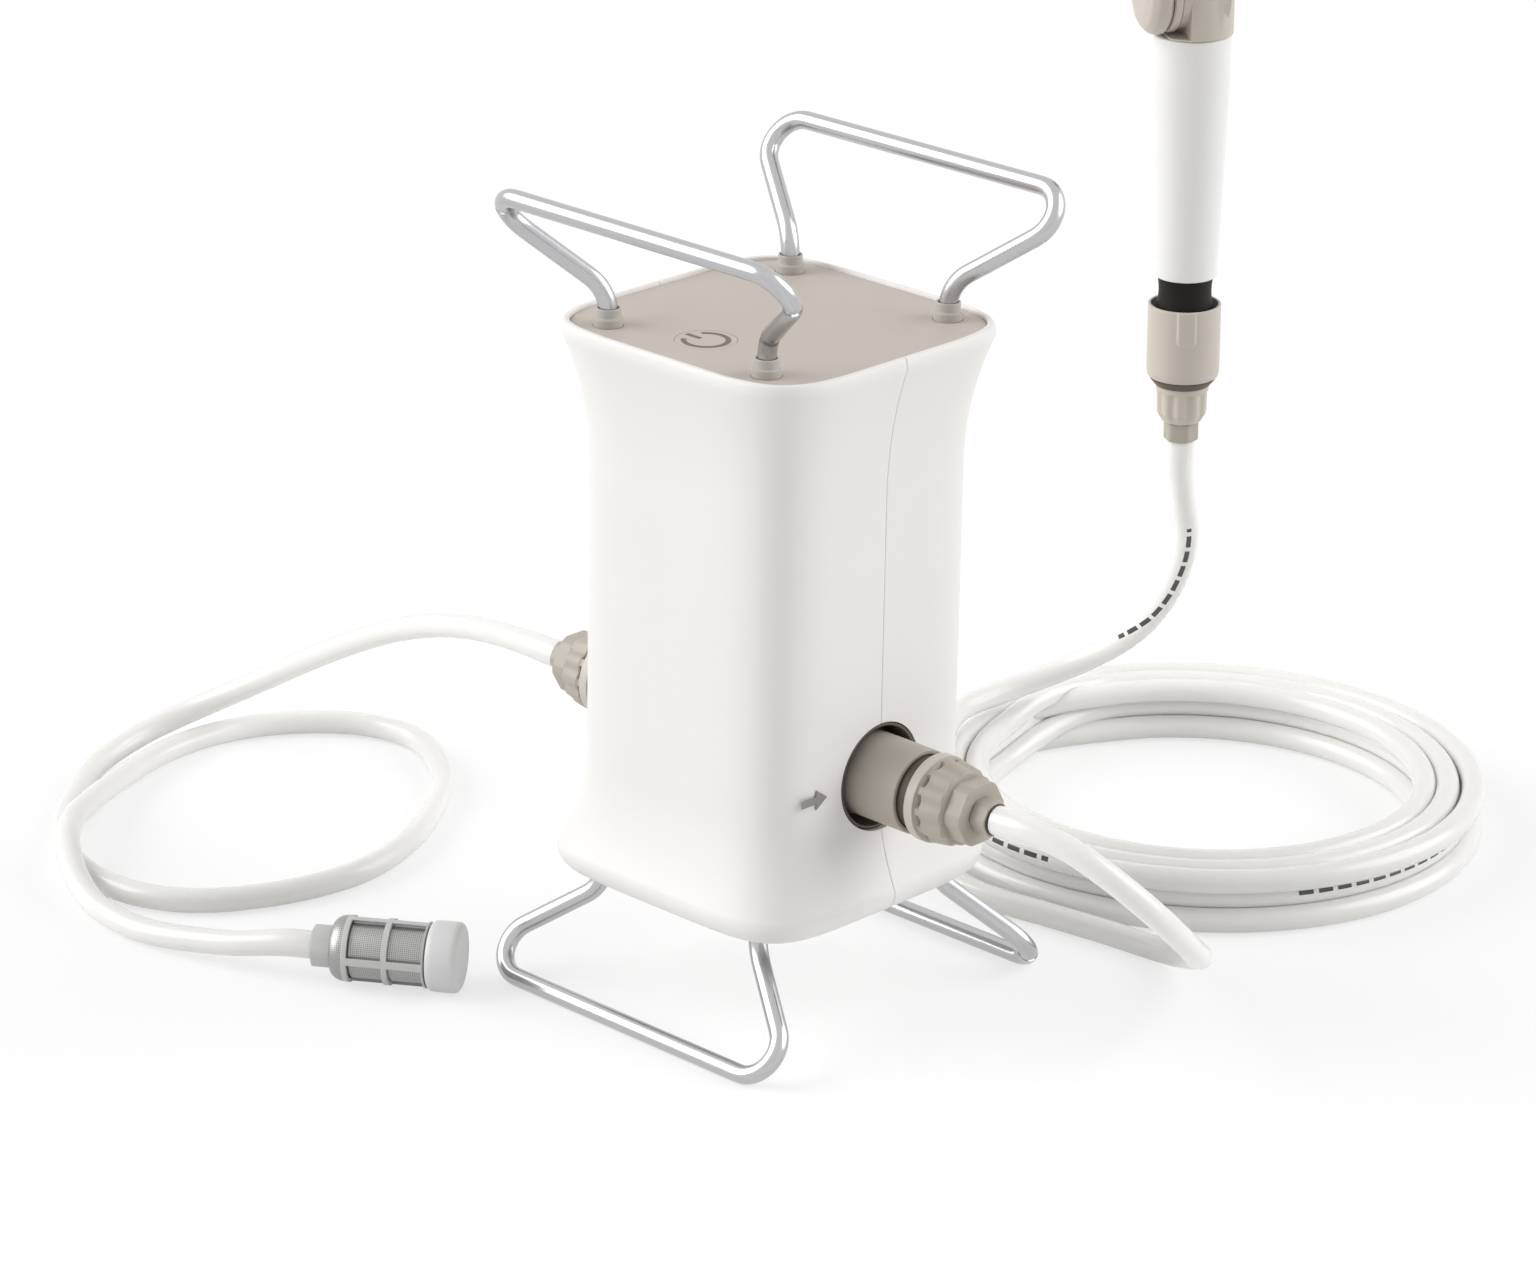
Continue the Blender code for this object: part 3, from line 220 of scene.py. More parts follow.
streak, inward, outward = effect_group(
    "drawn_streaks", [("Along", "vector", None), ("Stretch", "vector", (8.0, 60.0, 1.0))],
    [("Mask", "value")])
stretched = node(streak, "VectorMath", {0: inward.outputs["Along"],
                                        1: inward.outputs["Stretch"]}, operation="MULTIPLY")
lines = node(streak, "TexNoise", {"Vector": stretched.outputs["Vector"], "Scale": 1.0,
                                  "Detail": 5.0, "Roughness": 0.65})
streak.links.new(lines.outputs["Fac"], outward.inputs["Mask"])
print("effect groups:", [group.name for group in bpy.data.node_groups])


# %% Material builder
def placed_group(tree, group, sources):
    """Put a shared effect into a material."""
    return node(tree, "Group", sources, node_tree=group)


def new_finish(name):
    """A new material, its node tree and its shader."""
    made = bpy.data.materials.new(name)
    made.use_nodes = True
    return made, made.node_tree, made.node_tree.nodes["Principled BSDF"]


def moulded(name, colour, shade, roughness, grain_size=900.0, grain_depth=0.00002, **sockets):
    """Moulded plastic: a soft change of tone, a fine grain and a little uneven gloss."""
    made, tree, shader = new_finish(name)
    position = node(tree, "TexCoord").outputs["Object"]
    soft = placed_group(tree, tone, {"Place": position, "Colour": (*colour, 1),
                                     "Shade": (*shade, 1)})
    gloss = node(tree, "MapRange", {"Value": soft.outputs["Mask"],
                                    "To Min": roughness - 0.04, "To Max": roughness + 0.05})
    texture = placed_group(tree, grain, {"Place": position, "Size": grain_size})
    bump = node(tree, "Bump", {"Height": texture.outputs["Height"],
                               "Distance": grain_depth, "Strength": 0.6})
    feed(tree, shader, {"Base Color": soft.outputs["Colour"],
                        "Roughness": gloss.outputs["Result"],
                        "Normal": bump.outputs["Normal"]})
    feed(tree, shader, {label.replace("_", " "): value for label, value in sockets.items()})
    return made


def drawn_metal(name, colour, shade, roughness, stretch):
    """Drawn and polished metal, with fine lines that follow the piece's own UV map."""
    made, tree, shader = new_finish(name)
    surface = node(tree, "UVMap", uv_map="surface").outputs["UV"]
    lines = placed_group(tree, streak, {"Along": surface, "Stretch": stretch}).outputs["Mask"]
    gloss = node(tree, "MapRange", {"Value": lines, "To Min": roughness - 0.06,
                                    "To Max": roughness + 0.08})
    bump = node(tree, "Bump", {"Height": lines, "Distance": 0.00001, "Strength": 0.5})
    feed(tree, shader, {"Metallic": 1.0, "Normal": bump.outputs["Normal"],
                        "Base Color": mixed_colour(tree, lines, (*colour, 1), (*shade, 1)),
                        "Roughness": gloss.outputs["Result"]})
    return made


# %% [markdown]
# ## The finishes
# The body is a warm white with a satin skin. The plate and the hose fittings are grey-brown,
# the wires are drawn stainless steel, and the throat of the handset is black rubber. Colours
# are written as the light that each finish sends back, from 0 to 1.

# %% Finishes
SHELL_WHITE = moulded("shell_white", (0.865, 0.845, 0.825), (0.835, 0.815, 0.790), 0.40)
PLATE_TAUPE = moulded("plate_taupe", (0.548, 0.488, 0.438), (0.512, 0.456, 0.410), 0.52,
                      grain_size=1400.0, grain_depth=0.00004)
FERRULE_GREY = moulded("ferrule_grey", (0.52, 0.49, 0.46), (0.46, 0.43, 0.40), 0.38)
FITTING_TAN = moulded("fitting_tan", (0.455, 0.415, 0.360), (0.400, 0.365, 0.315), 0.46)
FERRULE_TAN = moulded("flange_tan", (0.60, 0.565, 0.515), (0.54, 0.505, 0.455), 0.42)
HANDSET_TAN = moulded("handset_tan", (0.600, 0.545, 0.475), (0.530, 0.480, 0.415), 0.40)
# Dark rubber for the port seals. The same dark colour is painted shade in the port recesses, inside
# the tail nuts and in the gap under the handset sleeve.
DARK_SEAL_AND_PAINTED_SHADE = moulded("dark_liner", (0.105, 0.080, 0.062), (0.078, 0.060, 0.047), 0.50)
RUBBER_BLACK = moulded("rubber_black", (0.009, 0.008, 0.007), (0.014, 0.013, 0.012), 0.58,
                       Specular_IOR_Level=0.2)
RUBBER_GREY = moulded("rubber_grey", (0.30, 0.285, 0.265), (0.26, 0.245, 0.230), 0.60)
STRAINER_GREY = moulded("strainer_grey", (0.62, 0.63, 0.62), (0.56, 0.57, 0.56), 0.42)
CAP_WHITE = moulded("cap_white", (0.74, 0.75, 0.74), (0.68, 0.69, 0.68), 0.45)
GRIP_WHITE = moulded("grip_white", (0.875, 0.870, 0.855), (0.845, 0.840, 0.820), 0.30)
MARK_BROWN = moulded("mark_brown", (0.130, 0.105, 0.085), (0.160, 0.130, 0.105), 0.50)
MARK_GREY = moulded("mark_grey", (0.270, 0.255, 0.245), (0.300, 0.285, 0.270), 0.50)
MECHANISM_GREY = moulded("mechanism_grey", (0.12, 0.125, 0.13), (0.09, 0.095, 0.10), 0.50)
BOARD_GREEN = moulded("board_green", (0.03, 0.16, 0.07), (0.02, 0.11, 0.05), 0.45)
CELL_WRAP = moulded("cell_wrap", (0.06, 0.20, 0.42), (0.05, 0.16, 0.36), 0.35)
STEEL = drawn_metal("drawn_steel", (0.60, 0.60, 0.61), (0.40, 0.40, 0.41), 0.22,
                    (6.0, 40.0, 1.0))
PLAIN_STEEL = moulded("plain_steel", (0.60, 0.60, 0.61), (0.50, 0.50, 0.51), 0.30,
                      Metallic=1.0)


# Each run of dashes: its middle and half its length along the hose in metres, and the share
# of a turn round the hose where it lies.
MARK_RUNS = ((3.752, 0.056, 0.440), (6.066, 0.017, 0.465), (6.347, 0.041, 0.215))
MARK_WIDTH = 0.033
DASH_STEP, DASH_GAP = 0.0046, 0.0012
DASH_INK = (0.06, 0.06, 0.065, 1)


def hose_dashes(tree, surface):
    """1 on a dash: close to a run's middle both along and round, and outside its gaps."""
    split = node(tree, "SeparateXYZ", {"Vector": surface}).outputs
    found = []
    for middle, half, share in MARK_RUNS:
        along = math_value(tree, "COMPARE", split["X"], middle, half)
        beside = math_value(tree, "COMPARE", split["Y"], share, MARK_WIDTH)
        found.append(math_value(tree, "MULTIPLY", along, beside))
    inside = math_value(tree, "MAXIMUM", math_value(tree, "MAXIMUM", *found[:2]), found[2])
    step = math_value(tree, "PINGPONG", split["X"], DASH_STEP)
    return math_value(tree, "MULTIPLY", inside,
                      math_value(tree, "GREATER_THAN", step, DASH_GAP))


def hose_material(name, marked):
    """Milky soft tube with faint lengthwise bands, and plain dark dashes if it is marked.

    U of the piece's own map is metres along the hose, and V goes once round it.
    """
    made, tree, shader = new_finish(name)
    surface = node(tree, "UVMap", uv_map="surface").outputs["UV"]
    bands = placed_group(tree, streak, {"Along": surface, "Stretch": (3.0, 5.0, 1.0)})
    colour = mixed_colour(tree, bands.outputs["Mask"], (0.95, 0.94, 0.92, 1),
                          (0.87, 0.855, 0.83, 1))
    if marked:
        colour = mixed_colour(tree, hose_dashes(tree, surface), colour, DASH_INK)
    feed(tree, shader, {
        "Base Color": colour, "Roughness": 0.24, "Subsurface Weight": 0.35,
        "Subsurface Radius": (0.004, 0.0036, 0.003), "Subsurface Scale": 1.0,
        "Coat Weight": 0.25, "Coat Roughness": 0.12})
    return made


def gauze_material():
    """Woven wire: thin light lines both ways over dark gaps, drawn on the piece's own map."""
    made, tree, shader = new_finish("strainer_gauze")
    surface = node(tree, "UVMap", uv_map="surface").outputs["UV"]
    split = node(tree, "SeparateXYZ", {"Vector": surface}).outputs
    wires = [math_value(tree, "LESS_THAN",
                        math_value(tree, "PINGPONG", split[axis], pitch), pitch * 0.55)
             for axis, pitch in (("X", 0.00045), ("Y", 0.0055))]
    either = math_value(tree, "MAXIMUM", *wires)
    colour = mixed_colour(tree, either, (0.10, 0.10, 0.10, 1), (0.42, 0.42, 0.41, 1))
    feed(tree, shader, {"Base Color": colour, "Metallic": either, "Roughness": 0.42})
    return made


GAUZE = gauze_material()
HOSE_MILKY = hose_material("hose_milky", False)
HOSE_MARKED = hose_material("hose_marked", True)
print("finishes:", len(bpy.data.materials))

# %% [markdown]
# ## The hoses
# A hose keeps its length and its roundness wherever it lies. Each one is a line of points
# with a round section carried along it. The section needs a steady sideways direction: the
# vertical serves while the hose lies down, and a level direction takes over where it stands.

# %% Round section along a line
def smooth_line(route, spacing):
    """Even points on the Catmull-Rom curve through a route's points.

    Between two points the curve is a cubic whose slope at each is half the step from the
    point before to the point after, and the ends continue straight.
    """
    route = np.asarray(route, float)
    points = np.vstack((2 * route[0] - route[1], route, 2 * route[-1] - route[-2]))
    before, start, end, after = points[:-3], points[1:-2], points[2:-1], points[3:]
    t = np.linspace(0, 1, 24, endpoint=False)[None, :, None]
    before, start, end, after = (p[:, None, :] for p in (before, start, end, after))
    dense = 0.5 * (2 * start + (end - before) * t
                   + (2 * before - 5 * start + 4 * end - after) * t ** 2
                   + (3 * start - before - 3 * end + after) * t ** 3)
    return even_points(np.vstack((dense.reshape(-1, 3), route[-1])), spacing)


def line_lengths(points):
    """Distance along a line of points, from its start to each point."""
    steps = np.linalg.norm(np.diff(points, axis=0), axis=1)
    return np.concatenate(([0.0], np.cumsum(steps)))


def even_points(points, spacing):
    """The same line with points at equal steps of its length."""
    along = line_lengths(points)
    wanted = np.linspace(0, along[-1], max(2, round(along[-1] / spacing)) + 1)
    return np.stack([np.interp(wanted, along, points[:, k]) for k in range(3)], axis=1)


def tube(name, line, radius, finish, sides=18):
    """Round tube along a line: centre + radius * (cos(v) * side + sin(v) * over).

    The direction side is square to the line and to a reference that leans from the
    vertical towards the level direction (0.6, -0.8, 0) where the line itself is upright.
    """
    ahead = np.gradient(line, axis=0)
    ahead /= np.linalg.norm(ahead, axis=1, keepdims=True)
    upright = ahead[:, 2:3] ** 2
    reference = (1 - upright) * np.array((0, 0, 1.0)) + upright * np.array((0.6, -0.8, 0))
    side = np.cross(ahead, reference)
    side /= np.linalg.norm(side, axis=1, keepdims=True)
    over = np.cross(side, ahead)
    v = np.linspace(0, 2 * np.pi, sides, endpoint=False)
    radius = np.broadcast_to(radius, len(line))[:, None, None]
    grid = (line[:, None] + radius * (np.cos(v)[None, :, None] * side[:, None]
                                      + np.sin(v)[None, :, None] * over[:, None]))
    u = line_lengths(line)
    uv = np.stack(np.meshgrid(u, np.linspace(0, 1, sides + 1), indexing="ij"), axis=2)
    return piece_from_grid(name, grid, finish, uv=uv)


# %% Routes of the hoses
HOSE_RADIUS = 0.0055
HOSE_STEP = 0.0045
COIL_CENTRE = np.array((0.0220, 0.2630))
OUTLET_ROUTE = [
    (0.1284, 0.0000, 0.1110), (0.1460, 0.0012, 0.1108), (0.1626, 0.0057, 0.1068),
    (0.1763, 0.0126, 0.0981), (0.1856, 0.0224, 0.0868), (0.1899, 0.0343, 0.0746),
    (0.1893, 0.0473, 0.0627), (0.1847, 0.0607, 0.0521), (0.1772, 0.0739, 0.0431),
    (0.1680, 0.0868, 0.0352), (0.1580, 0.0995, 0.0279), (0.1475, 0.1117, 0.0206),
    (0.1350, 0.1219, 0.0134), (0.1196, 0.1283, 0.0079), (0.1022, 0.1299, 0.0060),
    (0.0846, 0.1284, 0.0060), (0.0670, 0.1261, 0.0060), (0.0495, 0.1235, 0.0060),
    (0.0321, 0.1206, 0.0060), (0.0144, 0.1193, 0.0060), (-0.0031, 0.1213, 0.0060),
    (-0.0201, 0.1263, 0.0060), (-0.0362, 0.1335, 0.0060), (-0.0515, 0.1424, 0.0060),
    (-0.0655, 0.1532, 0.0060), (-0.0781, 0.1657, 0.0060), (-0.0889, 0.1796, 0.0060),
    (-0.0979, 0.1949, 0.0060), (-0.1046, 0.2112, 0.0060), (-0.1097, 0.2282, 0.0060),
]
RISE_OVER_COIL = [
    (-0.0333, 0.1546, 0.0288), (-0.0493, 0.1663, 0.0319), (-0.0633, 0.1804, 0.0348),
    (-0.0753, 0.1963, 0.0367), (-0.0841, 0.2143, 0.0376),
]
RISER_ROUTE = [
    (-0.0841, 0.2143, 0.0376), (-0.0860, 0.2290, 0.0379), (-0.0845, 0.2437, 0.0387),
    (-0.0802, 0.2577, 0.0410), (-0.0727, 0.2696, 0.0453), (-0.0628, 0.2785, 0.0517),
    (-0.0516, 0.2838, 0.0599), (-0.0406, 0.2859, 0.0695), (-0.0306, 0.2865, 0.0804),
    (-0.0221, 0.2864, 0.0926), (-0.0152, 0.2858, 0.1057), (-0.0096, 0.2837, 0.1193),
    (-0.0057, 0.2797, 0.1330), (-0.0042, 0.2745, 0.1468), (-0.0047, 0.2714, 0.1640),
    (-0.00485, 0.2712, 0.1779),
]
INLET_ROUTE = [
    (-0.1284, 0.0000, 0.1110), (-0.1454, 0.0003, 0.1108), (-0.1624, 0.0018, 0.1096),
    (-0.1791, 0.0039, 0.1074), (-0.1957, 0.0060, 0.1040), (-0.2121, 0.0078, 0.0997),
    (-0.2282, 0.0093, 0.0943), (-0.2441, 0.0105, 0.0882), (-0.2596, 0.0113, 0.0812),
    (-0.2748, 0.0118, 0.0735), (-0.2899, 0.0120, 0.0655), (-0.3047, 0.0120, 0.0571),
    (-0.3194, 0.0114, 0.0485), (-0.3339, 0.0092, 0.0397), (-0.3480, 0.0052, 0.0311),
    (-0.3609, -0.0022, 0.0229), (-0.3712, -0.0136, 0.0159), (-0.3763, -0.0290, 0.0110),
    (-0.3757, -0.0457, 0.0081), (-0.3712, -0.0621, 0.0066), (-0.3634, -0.0771, 0.0060),
    (-0.3531, -0.0907, 0.0060), (-0.3424, -0.1039, 0.0060), (-0.3312, -0.1168, 0.0060),
    (-0.3188, -0.1285, 0.0060), (-0.3048, -0.1382, 0.0060), (-0.2896, -0.1458, 0.0060),
    (-0.2731, -0.1501, 0.0060), (-0.2561, -0.1510, 0.0060), (-0.2395, -0.1475, 0.0060),
    (-0.2246, -0.1395, 0.0060), (-0.2127, -0.1274, 0.0060), (-0.2041, -0.1127, 0.0060),
    (-0.1977, -0.0969, 0.0060), (-0.1939, -0.0804, 0.0060), (-0.1927, -0.0634, 0.0060),
    (-0.1950, -0.0465, 0.0060), (-0.2002, -0.0303, 0.0060), (-0.2073, -0.0148, 0.0060),
    (-0.2159, -0.0001, 0.0060), (-0.2255, 0.0139, 0.0060), (-0.2362, 0.0273, 0.0060),
    (-0.2480, 0.0395, 0.0060), (-0.2615, 0.0498, 0.0060), (-0.2766, 0.0578, 0.0060),
    (-0.2929, 0.0625, 0.0060), (-0.3097, 0.0610, 0.0060), (-0.3254, 0.0544, 0.0060),
    (-0.3384, 0.0435, 0.0060), (-0.3489, 0.0301, 0.0060), (-0.3566, 0.0150, 0.0060),
    (-0.3609, -0.0015, 0.0060), (-0.3620, -0.0185, 0.0059), (-0.3597, -0.0353, 0.0061),
    (-0.3549, -0.0517, 0.0065), (-0.3483, -0.0673, 0.0073), (-0.3406, -0.0824, 0.0090),
    (-0.3321, -0.0970, 0.0112), (-0.3228, -0.1112, 0.0135), (-0.3130, -0.1249, 0.0160),
    (-0.3019, -0.1377, 0.0177), (-0.2894, -0.1492, 0.0171), (-0.2755, -0.1587, 0.0145),
    (-0.2606, -0.1661, 0.0109), (-0.2447, -0.1713, 0.0079), (-0.2279, -0.1735, 0.0068),
    (-0.2109, -0.1732, 0.0067), (-0.1942, -0.1700, 0.0078), (-0.1778, -0.1655, 0.0097),
    (-0.1618, -0.1603, 0.0120), (-0.1424, -0.1506, 0.0157), (-0.1324, -0.1439, 0.0157),
]

# %% [markdown]
# ## The coil
# The coil is one spiral of eight turns in three layers, laid clockwise. Each turn keeps its
# own place in the stack, three turns, then two in the hollows between them, then three
# again. In one short window, behind the body, every turn shifts over to its next place.

# %% Coil line
TURN_RADII = np.array((0.1245, 0.1135, 0.1025, 0.1080, 0.1190, 0.1025, 0.1135, 0.1245))
TURN_HEIGHTS = np.array((0.0060, 0.0060, 0.0060, 0.0152, 0.0152, 0.0245, 0.0245, 0.0245))
ARRIVAL_RADIUS = 0.1362
ARRIVAL_DEGREES = 195.0
WINDOW_DEGREES = 44.0
RISE_DEGREES = 66.0
COIL_DEGREES = 2872.0
LAST_DEGREES = 2828.0
DEGREE_STEP = 4.0
CROSSING_LIFT = 0.0012
LEAVE_RADIUS, LEAVE_HEIGHT = 0.1175, 0.0362
SWAY = 0.0004


def ease(x):
    """Smooth step from 0 to 1: three times the square less twice the cube."""
    x = np.clip(x, 0, 1)
    return x * x * (3 - 2 * x)


def around_coil(radius, degrees, height):
    """Points at radii and angles about the coil's centre."""
    angle = np.radians(degrees)
    return np.stack((COIL_CENTRE[0] + radius * np.cos(angle),
                     COIL_CENTRE[1] + radius * np.sin(angle),
                     np.broadcast_to(height, np.shape(angle))), axis=-1)


def coil_line():
    """Radius and height of each turn are held, and eased to the next turn's in a window."""
    travelled = np.arange(DEGREE_STEP, LAST_DEGREES, DEGREE_STEP)
    turn = np.floor(travelled / 360).astype(int)
    share = ease((travelled - 360 * turn) / WINDOW_DEGREES)
    radii = np.concatenate(([ARRIVAL_RADIUS], TURN_RADII))
    heights = np.concatenate(([0.0060], TURN_HEIGHTS))
    radius = radii[turn] + (radii[turn + 1] - radii[turn]) * share
    height = heights[turn] + (heights[turn + 1] - heights[turn]) * share
    layer = np.array((0, 0, 0, 0, 1, 1, 2, 2, 2))[turn]
    height += layer * CROSSING_LIFT * np.sin(np.pi * np.clip(
        (travelled - 360 * turn) / WINDOW_DEGREES, 0, 1)) ** 2
    leave = ease((travelled - (COIL_DEGREES - RISE_DEGREES)) / RISE_DEGREES)
    radius += leave * (LEAVE_RADIUS - TURN_RADII[-1])
    height += leave * (LEAVE_HEIGHT - TURN_HEIGHTS[-1])
    sway = SWAY * np.sin(np.radians(travelled * 1.37)) * (layer == 2)
    return around_coil(radius + sway, ARRIVAL_DEGREES - travelled, height)


def in_frame(points):
    """Move points from the body's own axis to the shared frame."""
    return np.asarray(points, float) + (0, BODY_Y, 0)


outlet_line = smooth_line(in_frame(np.vstack((OUTLET_ROUTE, coil_line(),
                                              RISE_OVER_COIL[:-1], RISER_ROUTE))), HOSE_STEP)
inlet_line = smooth_line(in_frame(INLET_ROUTE), HOSE_STEP)
print("outlet hose", round(line_lengths(outlet_line)[-1], 3), "m, suction hose",
      round(line_lengths(inlet_line)[-1], 3), "m")


# %% Hoses with their swollen ends
def hose_radii(line, end_swell):
    """Hose radius along a line: it swells over the barb at both ends, and fades in 45 mm."""
    along = line_lengths(line)
    first = np.exp(-((along - 0.004) / 0.016) ** 2)
    last = np.exp(-((along[-1] - along - 0.004) / 0.016) ** 2)
    return HOSE_RADIUS + end_swell * (first + last)


outlet_hose = tube("outlet_hose", outlet_line, hose_radii(outlet_line, 0.0009), HOSE_MARKED)
dress(outlet_hose, "shower", "hose_translucent", "outlet_hose_lead", "outlet_hose_coil",
      "outlet_hose_riser")
suction_hose = tube("suction_hose_line", inlet_line, hose_radii(inlet_line, 0.0006),
                    HOSE_MILKY)
dress(suction_hose, "shower", "hose_translucent", "suction_hose")

# %% [markdown]
# ## Turned pieces
# Sleeves, nuts, rings and caps all come from a lathe or a round mould. An outline of
# (radius, distance along the axis) is carried round the axis, and its corners are rounded
# first, because moulded edges are never sharp. A shape rule can change the radius with the
# angle, which makes hexagons, ribs and notches out of the same round piece.

# %% Rounded outlines and turned pieces
CORNER_STEPS = 4
LONGEST_CUT = 0.45


def softened(outline, radius, closed=True):
    """Round the corners of an outline with short quadratic curves.

    A corner c turns into (1-t)^2 a + 2t(1-t) c + t^2 b, where a and b lie on its two edges.
    """
    points = np.asarray(outline, float)
    back = np.roll(points, 1, axis=0) - points
    ahead = np.roll(points, -1, axis=0) - points
    cut = [edge * np.minimum(radius / np.maximum(np.linalg.norm(edge, axis=1), 1e-9),
                             LONGEST_CUT)[:, None] for edge in (back, ahead)]
    t = np.linspace(0, 1, CORNER_STEPS + 1)[None, :, None]
    start, end = (points + cut[0])[:, None], (points + cut[1])[:, None]
    curve = (1 - t) ** 2 * start + 2 * t * (1 - t) * points[:, None] + t ** 2 * end
    if closed:
        return curve.reshape(-1, 2)
    return np.vstack((points[:1], curve[1:-1].reshape(-1, 2), points[-1:]))


def axis_directions(axis):
    """Three directions square to each other: across, over, and the axis itself."""
    axis = np.asarray(axis, float) / np.linalg.norm(axis)
    helper = (0, 0, 1.0) if abs(axis[2]) < 0.9 else (1.0, 0, 0)
    across = np.cross(helper, axis)
    across /= np.linalg.norm(across)
    return across, np.cross(axis, across), axis


def turned(name, outline, finish, origin, axis=(0, 0, 1), sides=72, ring=True, shape=None,
           angle=SHARP_DEGREES):
    """Carry an outline round an axis: origin + z * axis + r * (cos a * across + sin a * over).

    A ring has a closed outline. Otherwise the outline's two ends are closed with flat discs.
    """
    outline = np.asarray(outline, float)
    across, over, axis = axis_directions(axis)
    a = np.linspace(0, 2 * np.pi, sides, endpoint=False)[None, :]
    r, z = outline[:, :1], outline[:, 1:]
    if shape is not None:
        r = shape(a, r, z)
    r = np.broadcast_to(r, (len(outline), sides))[..., None]
    grid = (np.asarray(origin, float) + z[..., None] * axis
            + r * (np.cos(a)[..., None] * across + np.sin(a)[..., None] * over))
    surface = np.stack(np.meshgrid(line_lengths(np.vstack((outline, outline[:1])))
                                   [:len(outline) + ring], np.linspace(0, 1, sides + 1),
                                   indexing="ij"), axis=2)
    return piece_from_grid(name, grid, finish, rows_join=ring, uv=surface, angle=angle)


def tube_outline(outer, inner, low, high, edge=0.0004):
    """Rounded outline of a plain ring."""
    return softened([(outer, high), (outer, low), (inner, low), (inner, high)], edge)


def disc_outline(radius, low, high, edge=0.0004):
    """Rounded outline of a plain disc, open on its axis."""
    return softened([(0.0001, low), (radius, low), (radius, high), (0.0001, high)], edge,
                    closed=False)


def six_sided(a, r, rounding=0.93):
    """Radius of a hexagon with corner radius r, its corners cut back to r * rounding."""
    flat = r * np.cos(np.pi / 6) / np.cos((a % (np.pi / 3)) - np.pi / 6)
    return np.minimum(flat, r * rounding + 0 * flat)


def fitting(place, name, outline, finish, rides, sides=96, **settings):
    """A turned piece at a place, which is an origin and an axis, already dressed.

    rides holds the body, the name of the finish, and the solids that the piece stands for.
    """
    return dress(turned(name, outline, finish, *place, sides, **settings), *rides)


def hexagon_outside(bore, rounding=0.93):
    """A shape rule that makes all that lies outside the bore six-sided."""
    return lambda a, r, z: np.where(r > bore, six_sided(a, r, rounding), r)


print("turned pieces are ready")


# %% [markdown]
# ## Cutting and joining
# Openings such as the port holes are cut with exact Booleans. The cutter is a rough solid
# that is deleted afterwards, and the result replaces the piece's own mesh.

# %% Cutting tools
def carve(piece, cutters, operation="DIFFERENCE"):
    """Cut or join solids with a piece, keep the result as its mesh, and delete the tools."""
    for cutter in cutters:
        step = piece.modifiers.new("cut", "BOOLEAN")
        step.solver = "EXACT"
        step.operation = operation
        step.object = cutter
    bpy.context.view_layer.update()
    shown = piece.evaluated_get(bpy.context.evaluated_depsgraph_get())
    mesh = bpy.data.meshes.new_from_object(shown)
    piece.modifiers.clear()
    rough = piece.data
    piece.data = mesh
    mesh.name = piece.name
    bpy.data.meshes.remove(rough)
    for cutter in cutters:
        data = cutter.data
        bpy.data.objects.remove(cutter)
        bpy.data.meshes.remove(data)
    mesh.shade_smooth()
    mesh.set_sharp_from_angle(angle=math.radians(SHARP_DEGREES))
    return piece


def rod_tool(radius, low, high, origin, axis=(0, 0, 1), sides=72):
    """A plain round rod, used as a cutter or to be joined on."""
    return turned("tool", [(radius, low), (radius, high)], DARK_SEAL_AND_PAINTED_SHADE, in_frame(origin), axis,
                  sides, ring=False)


def block_tool(size, centre, directions=np.eye(3)):
    """A plain box along three directions, used as a cutter or to be joined on."""
    x, y, z = np.asarray(size) / 2
    flat = ((-x, -y), (x, -y), (x, y), (-x, y))
    grid = np.array([[(px, py, pz) for px, py in flat] for pz in (-z, z)])
    return piece_from_grid("tool", grid @ directions + in_frame(centre), DARK_SEAL_AND_PAINTED_SHADE)


print("cutting tools are ready")

# %% [markdown]
# ## The body
# Seen from above the body is a rounded square, a superellipse: |x/h| to the power p plus
# |y/h| to the power p is one. The half width h is constant in the middle and opens out
# towards the foot and the rim. Two halves meet at a fine upright seam.

# %% Body sections
WAIST_HALF, RIM_HALF, FOOT_HALF = 0.0628, 0.0723, 0.0730
SECTION_POWER = 5.4
FOOT_Z, FOOT_WIDEST_Z, LOWER_FLARE_Z = 0.0520, 0.0610, 0.0990
UPPER_FLARE_Z, RIM_WIDEST_Z, RIM_Z = 0.2340, 0.2915, 0.2965
PLATE_TOP_Z = 0.2950
WALL = 0.0030
FOOT_MOUTH, FOOT_MOUTH_POWER = 0.0635, 6.5
RIM_MOUTH, PLATE_SEAT, PLATE_SEAT_Z = 0.0696, 0.0652, 0.2887
SEAM_DIP = 0.0003


def outer_half(z):
    """Half width of the body at a height: the waist plus a power curve at each flare."""
    low = np.clip((LOWER_FLARE_Z - z) / (LOWER_FLARE_Z - FOOT_WIDEST_Z), 0, 1)
    high = np.clip((z - UPPER_FLARE_Z) / (RIM_WIDEST_Z - UPPER_FLARE_Z), 0, 1)
    return (WAIST_HALF + (FOOT_HALF - WAIST_HALF) * low ** 1.65
            + (RIM_HALF - WAIST_HALF) * high ** 2.1)


def even_section(power, fractions):
    """Unit superellipse points on the side y >= 0, at fractions of its length from +x."""
    a = np.linspace(0, np.pi, 2001)
    x = np.sign(np.cos(a)) * np.abs(np.cos(a)) ** (2 / power)
    y = np.sin(a) ** (2 / power)
    along = line_lengths(np.stack((x, y), axis=1))
    wanted = np.asarray(fractions) * along[-1]
    return np.stack((np.interp(wanted, along, x), np.interp(wanted, along, y)), axis=1)


